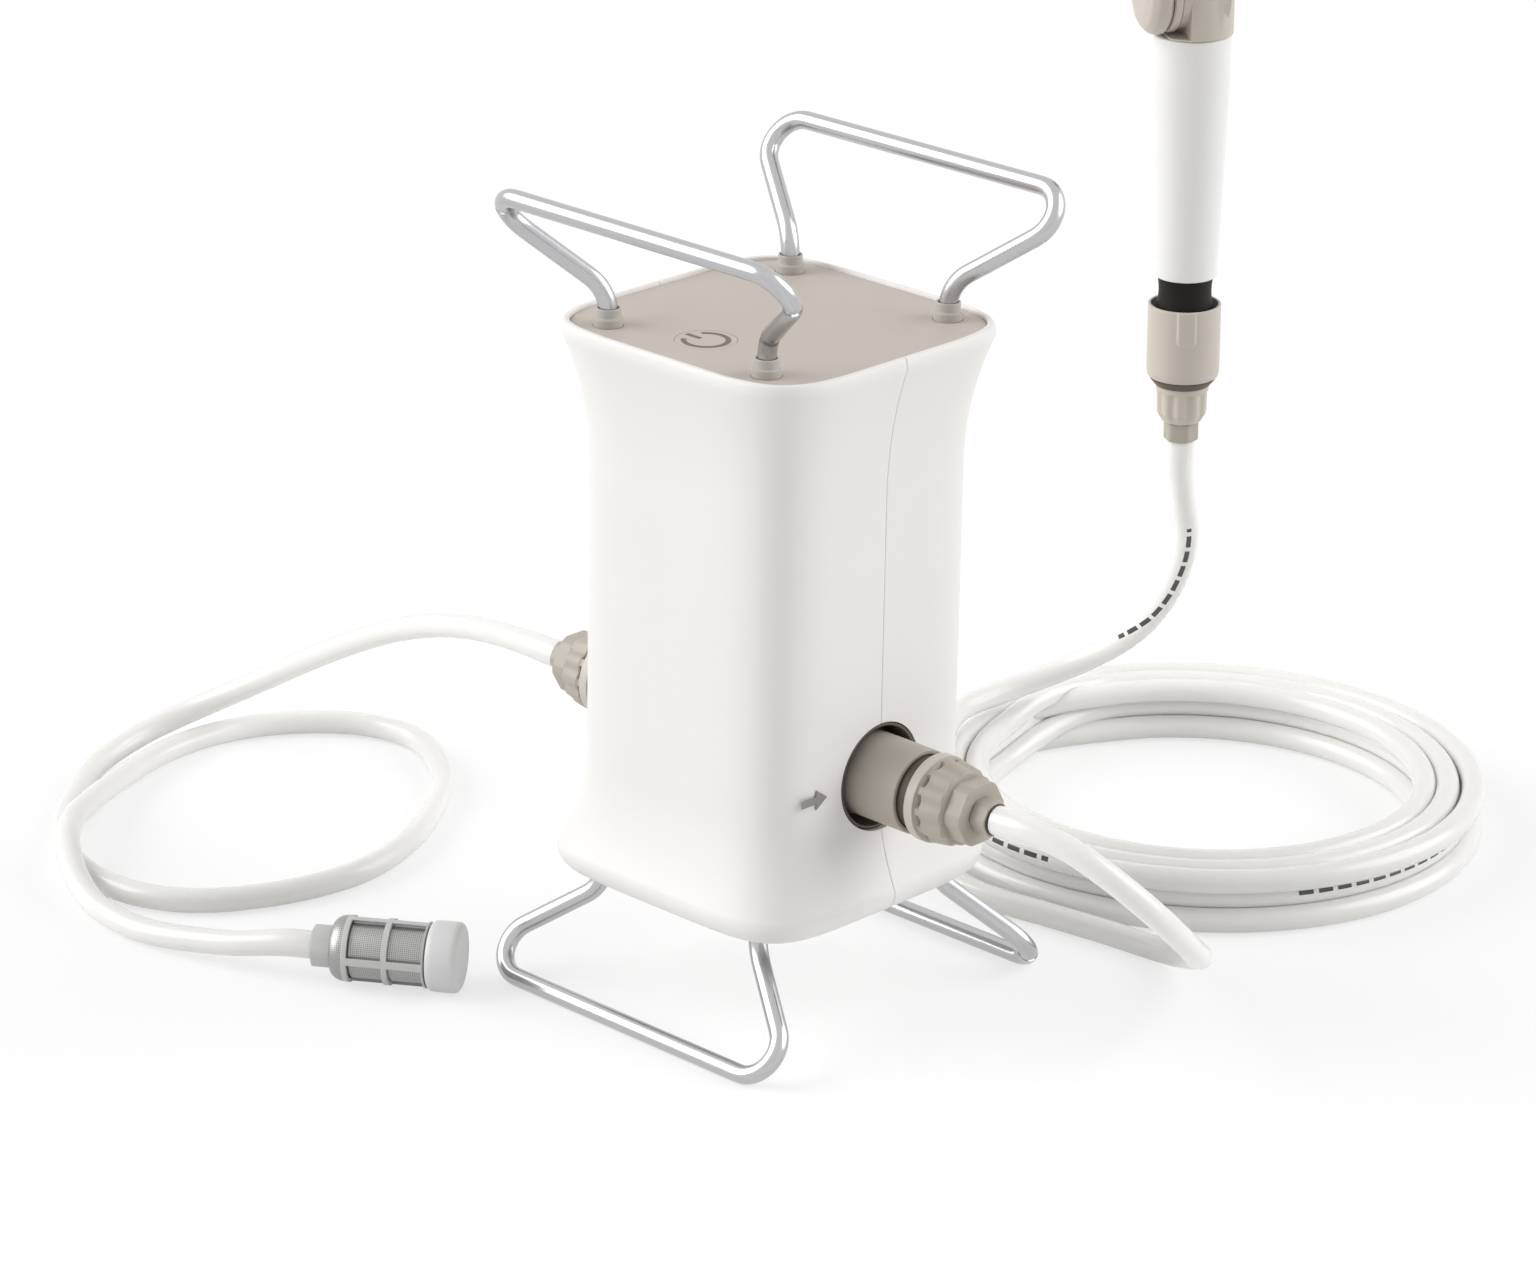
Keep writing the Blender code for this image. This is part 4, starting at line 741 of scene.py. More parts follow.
def wall_levels():
    """Closed outline of the body's wall as rows of (height, half width, section power)."""
    quarter = np.linspace(np.pi / 2, 0, 9)[:-1]
    rows = [(FOOT_WIDEST_Z - (FOOT_WIDEST_Z - FOOT_Z) * np.sin(q),
             0.0665 + (FOOT_HALF - 0.0665) * np.cos(q)) for q in quarter]
    heights = np.concatenate((np.linspace(FOOT_WIDEST_Z, LOWER_FLARE_Z, 17),
                              np.linspace(LOWER_FLARE_Z, UPPER_FLARE_Z, 22)[1:],
                              np.linspace(UPPER_FLARE_Z, RIM_WIDEST_Z, 21)[1:]))
    rows += [(z, outer_half(z)) for z in heights]
    rows += [(RIM_WIDEST_Z + (RIM_Z - RIM_WIDEST_Z) * np.sin(q),
              0.0706 + (RIM_HALF - 0.0706) * np.cos(q))
             for q in np.linspace(0, np.pi / 2, 9)[1:]]
    rows += [(RIM_Z - 0.0001, RIM_MOUTH), (RIM_Z - 0.0005, 0.0693), (0.2917, 0.0693),
             (0.2917, PLATE_SEAT), (PLATE_SEAT_Z, PLATE_SEAT)]
    rows += [(z, outer_half(z) - WALL) for z in (PLATE_SEAT_Z, 0.2650, UPPER_FLARE_Z,
                                                 LOWER_FLARE_Z, 0.0800, 0.0660)]
    rows = [(*row, SECTION_POWER) for row in rows]
    foot = ((0.0660, FOOT_MOUTH), (FOOT_Z + 0.0004, FOOT_MOUTH), (FOOT_Z, 0.0639))
    return rows + [(*row, FOOT_MOUTH_POWER) for row in foot]


def shell_half(name, side):
    """One half of the body; its wall dips by 0.3 mm right at the seam."""
    even = np.linspace(0, 1, 121)[1:-1]
    near = np.array((0.0, 0.0008, 0.0018, 0.0032, 0.0050))
    fractions = np.concatenate((near, even, 1 - near[::-1]))
    dip = 1 - np.clip(np.minimum(fractions, 1 - fractions) / 0.0028, 0, 1)
    levels = wall_levels()
    outer = np.array([z > 0 for z, *_ in levels])
    outer[np.argmax([half == RIM_MOUTH for _, half, _ in levels]):] = False
    grid = np.zeros((len(levels), len(fractions), 3))
    for row, (z, half, power) in enumerate(levels):
        reach = half - SEAM_DIP * dip[:, None] ** 2 * outer[row]
        section = even_section(power, fractions) * reach
        grid[row, :, 0] = section[:, 0]
        grid[row, :, 1] = side * np.maximum(section[:, 1], 0.00012)
        grid[row, :, 2] = z
    return piece_from_grid(name, in_frame(grid), SHELL_WHITE, rows_join=True,
                           columns_join=False)


# %% Body halves
PORT_Z, PORT_HOLE = 0.1110, 0.0236
CHARGE_Z = 0.1950


def port_hole_tool():
    """The round rod that cuts both port holes at once."""
    return rod_tool(PORT_HOLE, -0.1, 0.1, (0, 0, PORT_Z), (1, 0, 0))


front_half = shell_half("body_front", -1)
carve(front_half, [port_hole_tool()])
dress(front_half, "shower", "shell_white", "shell_front")
rear_half = shell_half("body_rear", 1)
carve(rear_half, [port_hole_tool(),
                  block_tool((0.0206, 0.0042, 0.0126), (0, WAIST_HALF + 0.0003, CHARGE_Z)),
                  block_tool((0.0102, 0.0200, 0.0046), (0, WAIST_HALF, CHARGE_Z))])
dress(rear_half, "shower", "shell_white", "shell_rear")
print("body faces:", len(front_half.data.polygons), len(rear_half.data.polygons))

# %% [markdown]
# ## The plates
# A flat plate lies a little below the rim, with a round button in it and a seat for each
# wire. The mark on the button is the usual sign for power: an open ring with a short bar.

# %% Plates
POST_X, POST_Y = 0.0452, 0.0541
POSTS = [(x, y) for y in (-POST_Y, POST_Y) for x in (-POST_X, POST_X)]
TIES = [(0.0300, -0.0420), (-0.0300, 0.0420)]
WIRE_RADIUS, WIRE_HOLE = 0.0040, 0.0043
PLATE_EDGE = 0.0005


def rods(places, radius, low, high, sides=72):
    """Upright rods of one size at a list of places."""
    return [rod_tool(radius, low, high, (x, y, 0), sides=sides) for x, y in places]


def square_plate(name, finish, half, power, low, high):
    """Flat plate with the body's outline and a small rounded edge."""
    inner = half - 0.030
    outline = softened([(inner, low), (half, low), (half, high), (inner, high)], PLATE_EDGE,
                       closed=False)
    fractions = np.linspace(0, 1, 81)[:-1]
    section = even_section(power, fractions)
    section = np.vstack((section, -section))
    grid = np.zeros((len(outline), len(section), 3))
    grid[..., :2] = section[None] * outline[:, 0][:, None, None]
    grid[..., 2] = outline[:, 1][:, None]
    return piece_from_grid(name, in_frame(grid), finish)


BUTTON, BUTTON_RADIUS = (-0.0035, -0.0392), 0.0130
top_plate = square_plate("top_plate_face", PLATE_TAUPE, 0.0690, SECTION_POWER, 0.2920,
                         PLATE_TOP_Z)
carve(top_plate, rods(POSTS, 0.0060, 0.2705, 0.2930) + rods(TIES, 0.0045, 0.2800, 0.2930, 36),
      "UNION")
carve(top_plate, rods(POSTS, 0.0065, 0.2944, 0.3100)
      + rods(POSTS, WIRE_HOLE, 0.2727, 0.3100, 36) + rods(TIES, 0.0023, 0.2700, 0.2912, 36)
      + rods([BUTTON], BUTTON_RADIUS + 0.00015, 0.2800, 0.3000))
dress(top_plate, "shower", "plate_taupe", "top_plate")

base_plate = square_plate("base_plate_face", SHELL_WHITE, FOOT_MOUTH - 0.0003,
                          FOOT_MOUTH_POWER, 0.0580, 0.0610)
carve(base_plate, rods(POSTS, 0.0060, 0.0590, 0.0787), "UNION")
carve(base_plate, rods(POSTS, WIRE_HOLE, 0.0400, 0.0768, 36)
      + rods(TIES, 0.0024, 0.0400, 0.0700, 36))
dress(base_plate, "shower", "shell_white", "base_plate")
RING = softened([(0.00525, 0.0080), (0.00525, 0.0040), (0.0063, 0.0040), (0.0063, 0.0),
                 (WIRE_HOLE, 0.0), (WIRE_HOLE, 0.0080)], 0.0005)
for number, (x, y) in enumerate(POSTS, start=1):
    upper = turned(f"handle_ring_{number}", RING, FERRULE_GREY, in_frame((x, y, 0.2947)))
    dress(upper, "shower", "ferrule_grey", f"handle_ferrule_{number}")
    lower = turned(f"stand_ring_{number}", tube_outline(0.0063, 0.0042, 0, 0.0072, 0.0008),
                   FERRULE_GREY, in_frame((x, y, 0.0509)))
    dress(lower, "shower", "ferrule_grey")
print("plates and rings:", top_plate.name, base_plate.name)


# %% Button and power mark
def flat_band(name, line, width, low, high, finish):
    """A thin raised band along a level line: each point is moved half the width sideways."""
    line = np.asarray(line, float)
    ahead = np.gradient(line, axis=0)
    ahead /= np.linalg.norm(ahead, axis=1, keepdims=True)
    sideways = np.stack((-ahead[:, 1], ahead[:, 0]), axis=1) * width / 2
    grid = np.zeros((len(line), 4, 3))
    grid[:, 0, :2], grid[:, 3, :2] = line - sideways, line - sideways
    grid[:, 1, :2], grid[:, 2, :2] = line + sideways, line + sideways
    grid[:, :2, 2], grid[:, 2:, 2] = low, high
    return piece_from_grid(name, in_frame(grid), finish)


button = turned("button_face", disc_outline(BUTTON_RADIUS, 0.2870, PLATE_TOP_Z, 0.0003), PLATE_TAUPE,
                in_frame((*BUTTON, 0)), ring=False)
dress(button, "button", "plate_taupe", "power_button")
MARK_RADIUS, MARK_STROKE = 0.0092, 0.0023
sweep = np.radians(np.linspace(34, 326, 49))
ring_line = np.stack((BUTTON[0] - MARK_RADIUS * np.cos(sweep),
                      BUTTON[1] + MARK_RADIUS * np.sin(sweep)), axis=1)
bar_line = np.array(((BUTTON[0] - 0.0030, BUTTON[1]), (BUTTON[0] - 0.0112, BUTTON[1])))
for name, line in (("power_mark_ring", ring_line), ("power_mark_bar", bar_line)):
    mark = flat_band(name, line, MARK_STROKE, PLATE_TOP_Z - 0.0002, PLATE_TOP_Z + 0.00006,
                     MARK_BROWN)
    dress(mark, "button", "dark_liner")
print("button and its mark are in place")

# %% [markdown]
# ## The wires
# Each handle and each stand is one length of 8 mm wire with four bends. A bend is an arc
# that touches both straight parts.

# %% Bent wires
BAR_HALF, BAR_Y = 0.0988, 0.0860
BEND_RADII, BEND_STEPS = (0.018, 0.013, 0.013, 0.018), 14


def bent(corners, radii):
    """Points of a line whose inner corners are replaced by arcs.

    For a bend of radius r and half opening angle h, the arc begins r / tan(h) from the
    corner and its centre lies r / sin(h) from it.
    """
    corners = np.asarray(corners, float)
    points = [corners[:1]]
    for before, corner, after, radius in zip(corners, corners[1:], corners[2:], radii):
        back = (before - corner) / np.linalg.norm(before - corner)
        ahead = (after - corner) / np.linalg.norm(after - corner)
        half = np.arccos(back @ ahead) / 2
        middle = (back + ahead) / np.linalg.norm(back + ahead)
        centre = corner + middle * radius / np.sin(half)
        start = (corner + back * radius / np.tan(half) - centre) / radius
        end = (corner + ahead * radius / np.tan(half) - centre) / radius
        whole = np.arccos(np.clip(start @ end, -1, 1))
        t = np.linspace(0, 1, BEND_STEPS + 1)[:, None]
        arc = (np.sin((1 - t) * whole) * start + np.sin(t * whole) * end) / np.sin(whole)
        points.append(centre + radius * arc)
    points.append(corners[-1:])
    return np.vstack(points)


def wire_loop(name, side, end_z, knee_z, bar_z, node_name):
    """One bent wire, its map set in metres so that the drawn lines run along it."""
    corners = [(-POST_X, side * POST_Y, end_z), (-POST_X, side * POST_Y, knee_z),
               (-BAR_HALF, side * BAR_Y, bar_z), (BAR_HALF, side * BAR_Y, bar_z),
               (POST_X, side * POST_Y, knee_z), (POST_X, side * POST_Y, end_z)]
    line = bent(corners, BEND_RADII)
    wire = tube(name, in_frame(even_points(line, 0.0016)), WIRE_RADIUS, STEEL, sides=28)
    dress(wire, "shower", "steel", node_name)


for side, place_name in ((-1, "front"), (1, "rear")):
    wire_loop(f"handle_{place_name}", side, 0.2730, 0.3100, 0.3505,
              f"handle_loop_{place_name}")
    wire_loop(f"stand_{place_name}", side, 0.0765, 0.0440, 0.0040,
              f"stand_loop_{place_name}")
print("four wires, each bent four times")

# %% [markdown]
# ## The hose ports
# Each port is a round recess with a sliding sleeve in it; the cup in the recess is coloured
# dark as painted shade. Beyond the sleeve the connector shows a flange, a ring of notches,
# twelve soft ribs and a hexagon. A smaller nut holds the hose, and its dark lining is painted
# shade in its hollow.

# %% Connector shapes
def ribbed(a, r, count, depth):
    """Radius with soft ribs: r less depth times the absolute sine of half the count."""
    return r - depth * np.abs(np.sin(count * a / 2)) ** 3


def notched(a, r, count, depth):
    """Radius that drops by depth in every other one of twice the count of equal steps."""
    return r - depth / (1 + np.exp(18 * np.cos(count * a) - 2))


def connector_shape(a, r, z):
    """Notches, ribs and a hexagon, each within its own stretch of the axis."""
    outer = r > 0.0140
    r = np.where(outer & (z > NOTCH_Z) & (z < RIB_Z), notched(a, r, 12, NOTCH_DEPTH), r)
    r = np.where(outer & (z >= RIB_Z) & (z < RIB_END_Z), ribbed(a, r, 12, RIB_DEPTH), r)
    return np.where(outer & (z >= RIB_END_Z + 0.0003), six_sided(a, r), r)


NOTCH_Z, RIB_Z, RIB_END_Z = 0.0357, 0.0374, 0.0481
NOTCH_DEPTH, RIB_DEPTH = 0.0030, 0.0011
CONNECTOR = softened([
    (0.0045, 0.0568), (0.0045, 0.0225), (0.0125, 0.0225), (0.0125, -0.0020),
    (0.0138, -0.0020), (0.0138, 0.0305), (0.0187, 0.0305), (0.0187, 0.0349),
    (0.0176, 0.0352), (0.0176, 0.0376), (0.0180, 0.0380), (0.0174, 0.0430),
    (0.0166, 0.0478), (0.0150, 0.0482), (0.0150, 0.0568)], 0.0004)
CUP = softened([
    (0.0231, -0.0004), (0.0231, -0.0190), (0.0120, -0.0190), (0.0120, -0.0280),
    (0.0060, -0.0280), (0.0060, 0.0220), (0.0120, 0.0220), (0.0120, -0.0160),
    (0.0218, -0.0160), (0.0218, -0.0004)], 0.0003)

# %% Ports on both sides
for prefix, side, lock in (("outlet", 1, "outlet_lock"), ("inlet", -1, "inlet_lock")):
    place = (in_frame((side * WAIST_HALF, 0, PORT_Z)), (side, 0, 0))
    # The recess cup is coloured dark as painted shade inside the port hole.
    fitting(place, f"{prefix}_recess", CUP, DARK_SEAL_AND_PAINTED_SHADE,
            ("shower", "dark_liner", f"{prefix}_port_cup"))
    fitting(place, f"{prefix}_slide", tube_outline(0.0183, 0.0162, -0.0130, 0.0243, 0.0007),
            FITTING_TAN, (lock, "fitting_tan", f"{prefix}_sleeve"))
    # The seal is dark rubber. Where it shows between the sleeve and the flange, its dark band is
    # also painted shade in that groove.
    fitting(place, f"{prefix}_seal", tube_outline(0.0159, 0.0142, 0.0120, 0.0302),
            DARK_SEAL_AND_PAINTED_SHADE, ("shower", "rubber_black", f"{prefix}_seal_ring"), 72)
    fitting(place, f"{prefix}_coupling", CONNECTOR, FITTING_TAN,
            ("shower", "fitting_tan", f"{prefix}_connector"), 144, shape=connector_shape,
            angle=30)
    fitting(place, f"{prefix}_flange", tube_outline(0.01885, 0.0180, 0.0304, 0.0350, 0.0003),
            FERRULE_TAN, ("shower", "fitting_tan"))
    fitting(place, f"{prefix}_nut", tube_outline(0.0083, 0.0052, 0.0570, 0.0648, 0.0005),
            FITTING_TAN, ("shower", "fitting_tan", f"{prefix}_tail_nut"), 72, angle=25,
            shape=hexagon_outside(0.0068))
    # A thin dark ring inside the tail nut is painted shade in its hollow.
    fitting(place, f"{prefix}_nut_painted_shade", tube_outline(0.0068, 0.0058, 0.0600, 0.0652, 0.0002),
            DARK_SEAL_AND_PAINTED_SHADE, ("shower", "dark_liner"), 60)
print("ports:", "outlet on +X, inlet on -X")

# %% [markdown]
# ## Flow mark
# A flat arrow beside each port shows the way of the water: out of the body at the outlet, and
# into it on the other side.

# %% Flow arrows
ARROW_Y, ARROW_Z = -0.0395, 0.1110
ARROW = np.array(((-0.0016, -0.0075), (0.0016, -0.0075), (0.0016, 0.0010), (0.0044, 0.0010),
                  (0.0, 0.0075), (-0.0044, 0.0010), (-0.0016, 0.0010)))


def flow_arrow(name, side, direction):
    """A flat seven-cornered arrow, 0.06 mm proud of the body, pointing along direction."""
    grid = np.zeros((2, 7, 3))
    reach = WAIST_HALF + np.array((-0.0004, 0.00006))
    grid[..., 0] = side * (reach[:, None] - 0.0001)
    grid[..., 1] = ARROW_Y + ARROW[:, 1] * direction
    grid[..., 2] = ARROW_Z + ARROW[:, 0]
    return dress(piece_from_grid(name, in_frame(grid), MARK_GREY), "shower", "dark_liner")


flow_arrow("outlet_arrow", 1, 1)
flow_arrow("inlet_arrow", -1, -1)
print("two flow arrows")

# %% [markdown]
# ## The strainer
# Four slots in each of two rows open the cage. A fine wire mesh lies behind them and also
# covers the rounded end beside the nut.

# %% Strainer
STRAINER_LENGTH = 0.0655
SLOT_ROWS, SLOT_SIZE = (0.0252, 0.0428), (0.0177, 0.0500, 0.0152)
STRAINER_START = (-0.1319, -0.1436, 0.0157)
STRAINER_AXIS = (0.8290, 0.5592, 0.0)
STRAINER_PLACE = (in_frame(STRAINER_START), STRAINER_AXIS)

fitting(STRAINER_PLACE, "strainer_tail", tube_outline(0.0098, 0.0056, 0.0003, 0.0108, 0.0006),
        STRAINER_GREY, ("shower", "strainer_light", "strainer_nut"), 72, angle=25,
        shape=hexagon_outside(0.008))
CAGE = softened([(0.0144, 0.0511), (0.0144, 0.0153), (0.0138, 0.0153), (0.0126, 0.0175),
                 (0.0126, 0.0511)], 0.0006)
cage = turned("strainer_basket", CAGE, STRAINER_GREY, *STRAINER_PLACE, 96)
across, over, along = axis_directions(STRAINER_AXIS)
slots = []
for distance in SLOT_ROWS:
    for turn in np.radians((45, 135)):
        first = np.cos(turn) * across + np.sin(turn) * over
        slots.append(block_tool(SLOT_SIZE, np.array(STRAINER_START) + along * distance,
                                np.array((first, np.cross(along, first), along))))
carve(cage, slots)
dress(cage, "shower", "strainer_light", "strainer_cage")
dome_turn = np.linspace(0, np.pi / 2, 14)
DOME = np.stack((0.0097 + 0.0045 * np.sin(dome_turn),
                 0.0150 - 0.0060 * np.cos(dome_turn)), axis=1)
fitting(STRAINER_PLACE, "strainer_dome", np.vstack((
    DOME, [(0.0142, 0.0156), (0.0128, 0.0156), (0.0060, 0.0110), (0.0060, 0.0090)])),
    GAUZE, ("shower", "strainer_mesh"))
fitting(STRAINER_PLACE, "strainer_gauze", tube_outline(0.0123, 0.0116, 0.0180, 0.0511, 0.0002),
        GAUZE, ("shower", "strainer_mesh", "strainer_mesh"))
fitting(STRAINER_PLACE, "strainer_lid", disc_outline(0.0153, 0.0514, STRAINER_LENGTH, 0.0032),
        CAP_WHITE, ("shower", "strainer_light", "strainer_cap"), ring=False)
print("strainer is", round(1000 * STRAINER_LENGTH), "mm long")

# %% [markdown]
# ## The handset
# The foot of the handset takes the same kind of connector. Its sleeve has a raised pad for
# the thumb. A black rubber throat joins the sleeve to the white grip, and a clamp with a
# knob lets the spray head tilt.

# %% Handset foot and grip
HANDSET_FOOT = np.array((-0.00485, 0.2712, 0.1783))
UP = np.array((-0.01076, -0.01021, 0.99989))
HANDSET = HANDSET_FOOT - UP * HANDSET_FOOT[2]
NUT_Z, GRIP_Z, GRIP_TOP_Z, PIVOT_RISE = 0.1873, 0.2560, 0.3678, 0.3880
SLIDE_RADIUS = 0.01645
PAD_DEGREES, PAD_HALF_WIDTH, PAD_FADE, PAD_RISE = 44.0, 0.0038, 0.0005, 0.0009
PAD_FOOT_Z = 0.2300


HANDSET_PLACE = (in_frame(HANDSET), UP)


def foot_shape(a, r, z):
    """Ten flutes on the nut between its rim and its chamfer."""
    nut = (r > 0.0105) & (z > 0.1912) & (z < 0.2020)
    return np.where(nut, ribbed(a, r, 10, 0.0010), r)


def pad_shape(a, r, z):
    """A pad that stands 0.9 mm proud: full inside a rounded strip, faded over 0.5 mm."""
    sideways = np.abs(np.angle(np.exp(1j * (a - np.radians(PAD_DEGREES))))) * SLIDE_RADIUS
    below = np.maximum(PAD_FOOT_Z - z, 0)
    reach = np.hypot(sideways, below)
    return r + PAD_RISE * (r > 0.0162) * (1 - ease((reach - PAD_HALF_WIDTH) / PAD_FADE))


fitting(HANDSET_PLACE, "handset_nut", tube_outline(0.0083, 0.0056, 0.1783, 0.1870, 0.0006),
        FITTING_TAN, ("shower", "fitting_tan", "handset_tail_nut"), 72, angle=25,
        shape=hexagon_outside(0.0070, 0.95))
fitting(HANDSET_PLACE, "handset_coupling", softened([
    (0.0090, 0.2372), (0.0148, 0.2372), (0.0148, 0.2078), (0.0122, 0.2055), (0.0119, 0.2043),
    (0.0119, 0.2022), (0.0116, 0.2016), (0.0115, 0.1918), (0.0087, NUT_Z), (0.0045, NUT_Z),
    (0.0045, 0.2140), (0.0090, 0.2140)], 0.0004), HANDSET_TAN,
    ("shower", "fitting_tan", "handset_connector"), 120, shape=foot_shape)
# The dark ring between the nut and the sleeve is painted shade in the gap there.
fitting(HANDSET_PLACE, "handset_painted_shade_ring", softened([
    (0.0150, 0.2079), (0.0150, 0.2092), (0.0140, 0.2092), (0.0118, 0.2046), (0.0123, 0.2046)],
    0.0003), DARK_SEAL_AND_PAINTED_SHADE, ("shower", "dark_liner"))
rise = np.linspace(0.2118, 0.2424, 40)
fitting(HANDSET_PLACE, "handset_slide", np.vstack((
    softened([(0.0153, 0.2088), (0.0159, 0.2092), (SLIDE_RADIUS, 0.2118)], 0.0004,
             closed=False),
    np.stack((np.full(40, SLIDE_RADIUS), rise), axis=1),
    softened([(SLIDE_RADIUS, 0.2426), (0.0162, 0.2429), (0.0151, 0.2429), (0.0151, 0.2088)],
             0.0003, closed=False))), HANDSET_TAN,
    ("handset_lock", "fitting_tan", "handset_sleeve"), 180, shape=pad_shape)
throat_z = np.linspace(0.2375, 0.2558, 26)
throat_r = 0.0119 + 0.0014 * np.abs((throat_z - 0.2492) / 0.0100) ** 1.8
fitting(HANDSET_PLACE, "handset_throat", np.vstack((
    np.stack((throat_r.clip(max=0.0133), throat_z), axis=1),
    [(0.0090, 0.2558), (0.0090, 0.2790), (0.0055, 0.2790), (0.0055, 0.2160),
     (0.0087, 0.2160), (0.0087, 0.2375)])), RUBBER_BLACK,
    ("shower", "rubber_black", "handset_spigot"))
fitting(HANDSET_PLACE, "handset_handle", softened([
    (0.0093, GRIP_Z), (0.0141, GRIP_Z), (0.0149, 0.2760), (0.0163, 0.3180),
    (0.0173, 0.3480), (0.0175, GRIP_TOP_Z), (0.0093, GRIP_TOP_Z)], 0.0009), GRIP_WHITE,
    ("shower", "grip_white", "handset_grip"), 128)
print("handset foot and grip are in place")

# %% Clamp and knob
PIVOT = HANDSET + UP * PIVOT_RISE
YAW = np.radians(-32.0)
SIDE = np.array((np.sin(YAW), -np.cos(YAW), 0.0))
SIDE -= UP * (SIDE @ UP)
SIDE /= np.linalg.norm(SIDE)
FORWARD = np.cross(UP, SIDE)
CLAMP_DIRECTIONS = np.array((FORWARD, np.cross(SIDE, FORWARD), SIDE))
PIVOT_PLACE = (in_frame(PIVOT), SIDE)


def side_disc(radius, low, high, edge=0.0006):
    """A rounded disc on the pivot axis, used to join or to cut."""
    return turned("tool", disc_outline(radius, low, high, edge), DARK_SEAL_AND_PAINTED_SHADE, *PIVOT_PLACE,
                  96, ring=False)


def seat_tool(reach, floor):
    """The box beyond a distance along the pivot axis and above a height of the handset."""
    centre = PIVOT + SIDE * (reach + 0.0200) + UP * (floor + 0.0260 - PIVOT_RISE)
    return block_tool((0.0600, 0.0520, 0.0400), centre, CLAMP_DIRECTIONS)


clamp = turned("clamp_block", disc_outline(0.0182, 0.3681, PIVOT_RISE, 0.0006), HANDSET_TAN,
               *HANDSET_PLACE, 96, ring=False)
carve(clamp, [seat_tool(0.0062, 0.3690), seat_tool(0.0139, GRIP_TOP_Z)])
carve(clamp, [side_disc(0.0174, -0.0122, 0.0100)], "UNION")
for cutter in (rod_tool(0.0042, -0.0300, 0.0200, PIVOT, SIDE, 44),
               rod_tool(0.0060, 0.3500, 0.3716, HANDSET, UP, 48),
               side_disc(0.0152, -0.0045, 0.0045, 0.0003),
               block_tool((0.0600, 0.0600, 0.0093), PIVOT + UP * 0.0300, CLAMP_DIRECTIONS)):
    carve(clamp, [cutter])
dress(clamp, "shower", "fitting_tan", "pivot_block")
fitting(PIVOT_PLACE, "clamp_washer", tube_outline(0.0186, 0.0043, 0.0104, 0.0140, 0.0010),
        HANDSET_TAN, ("shower", "fitting_tan", "pivot_washer"))
knob_outline = softened([
    (0.0001, 0.0256), (0.0100, 0.0253), (0.0160, 0.0240), (0.0188, 0.0212), (0.0194, 0.0185),
    (0.0194, 0.0160), (0.0172, 0.0154), (0.0172, 0.0143), (0.0043, 0.0143), (0.0043, 0.0163),
    (0.0001, 0.0163)], 0.0010, closed=False)
fitting(PIVOT_PLACE, "clamp_knob", knob_outline, HANDSET_TAN,
        ("knob", "fitting_tan", "tilt_knob"), 144, ring=False,
        shape=lambda a, r, z: np.where((z > 0.0162) & (z < 0.0195) & (r > 0.0180),
                                       ribbed(a, r, 24, 0.0003), r))
fitting(PIVOT_PLACE, "clamp_pin", disc_outline(0.0040, -0.0117, 0.0158, 0.0005), PLAIN_STEEL,
        ("shower", "steel", "pivot_pin"), 48, ring=False)
print("clamp turns about", SIDE.round(3))

# %% [markdown]
# ## The spray head
# The head lies outside the photograph, so its form is a plain round rose: a shallow shell on
# a short neck, with rings of small nozzles in its face.

# %% Spray head
DROP = np.radians(20.0)
SPRAY = FORWARD * np.cos(DROP) - UP * np.sin(DROP)
HEAD_CENTRE = PIVOT + FORWARD * 0.0380 + UP * 0.0580
HEAD_RADIUS, NOZZLE_STEP = 0.0390, 0.0062
HEAD_PLACE = (in_frame(HEAD_CENTRE), SPRAY)
neck_way = HEAD_CENTRE - SPRAY * 0.0110 - PIVOT

head = turned("head_shell", softened([
    (0.0001, -0.0135), (0.0130, -0.0130), (0.0300, -0.0085), (0.0375, -0.0020),
    (HEAD_RADIUS, 0.0060), (HEAD_RADIUS - 0.0005, 0.0110), (HEAD_RADIUS - 0.0030, 0.0110),
    (HEAD_RADIUS - 0.0030, -0.0010), (0.0280, -0.0060), (0.0130, -0.0105),
    (0.0001, -0.0110)], 0.0024, closed=False), HANDSET_TAN, *HEAD_PLACE, 128, ring=False)
carve(head, [side_disc(0.0140, -0.0040, 0.0040)], "UNION")
neck_length = np.linalg.norm(neck_way)
neck = turned("tool", [(0.0038, 0.0080), (0.0038, 0.0240), (0.0058, 0.0370),
                       (0.0098, neck_length - 0.0070), (0.0122, neck_length + 0.0005)],
              HANDSET_TAN, in_frame(PIVOT), neck_way, 72, ring=False)
carve(head, [neck], "UNION")
carve(head, [rod_tool(0.0042, -0.0100, 0.0100, PIVOT, SIDE, 48)])
dress(head, "sprayer", "fitting_tan", "spray_head")
fitting(HEAD_PLACE, "head_face", disc_outline(HEAD_RADIUS - 0.0036, 0.0040, 0.0104, 0.0006),
        STRAINER_GREY, ("sprayer", "strainer_light", "spray_plate"), 128, ring=False)


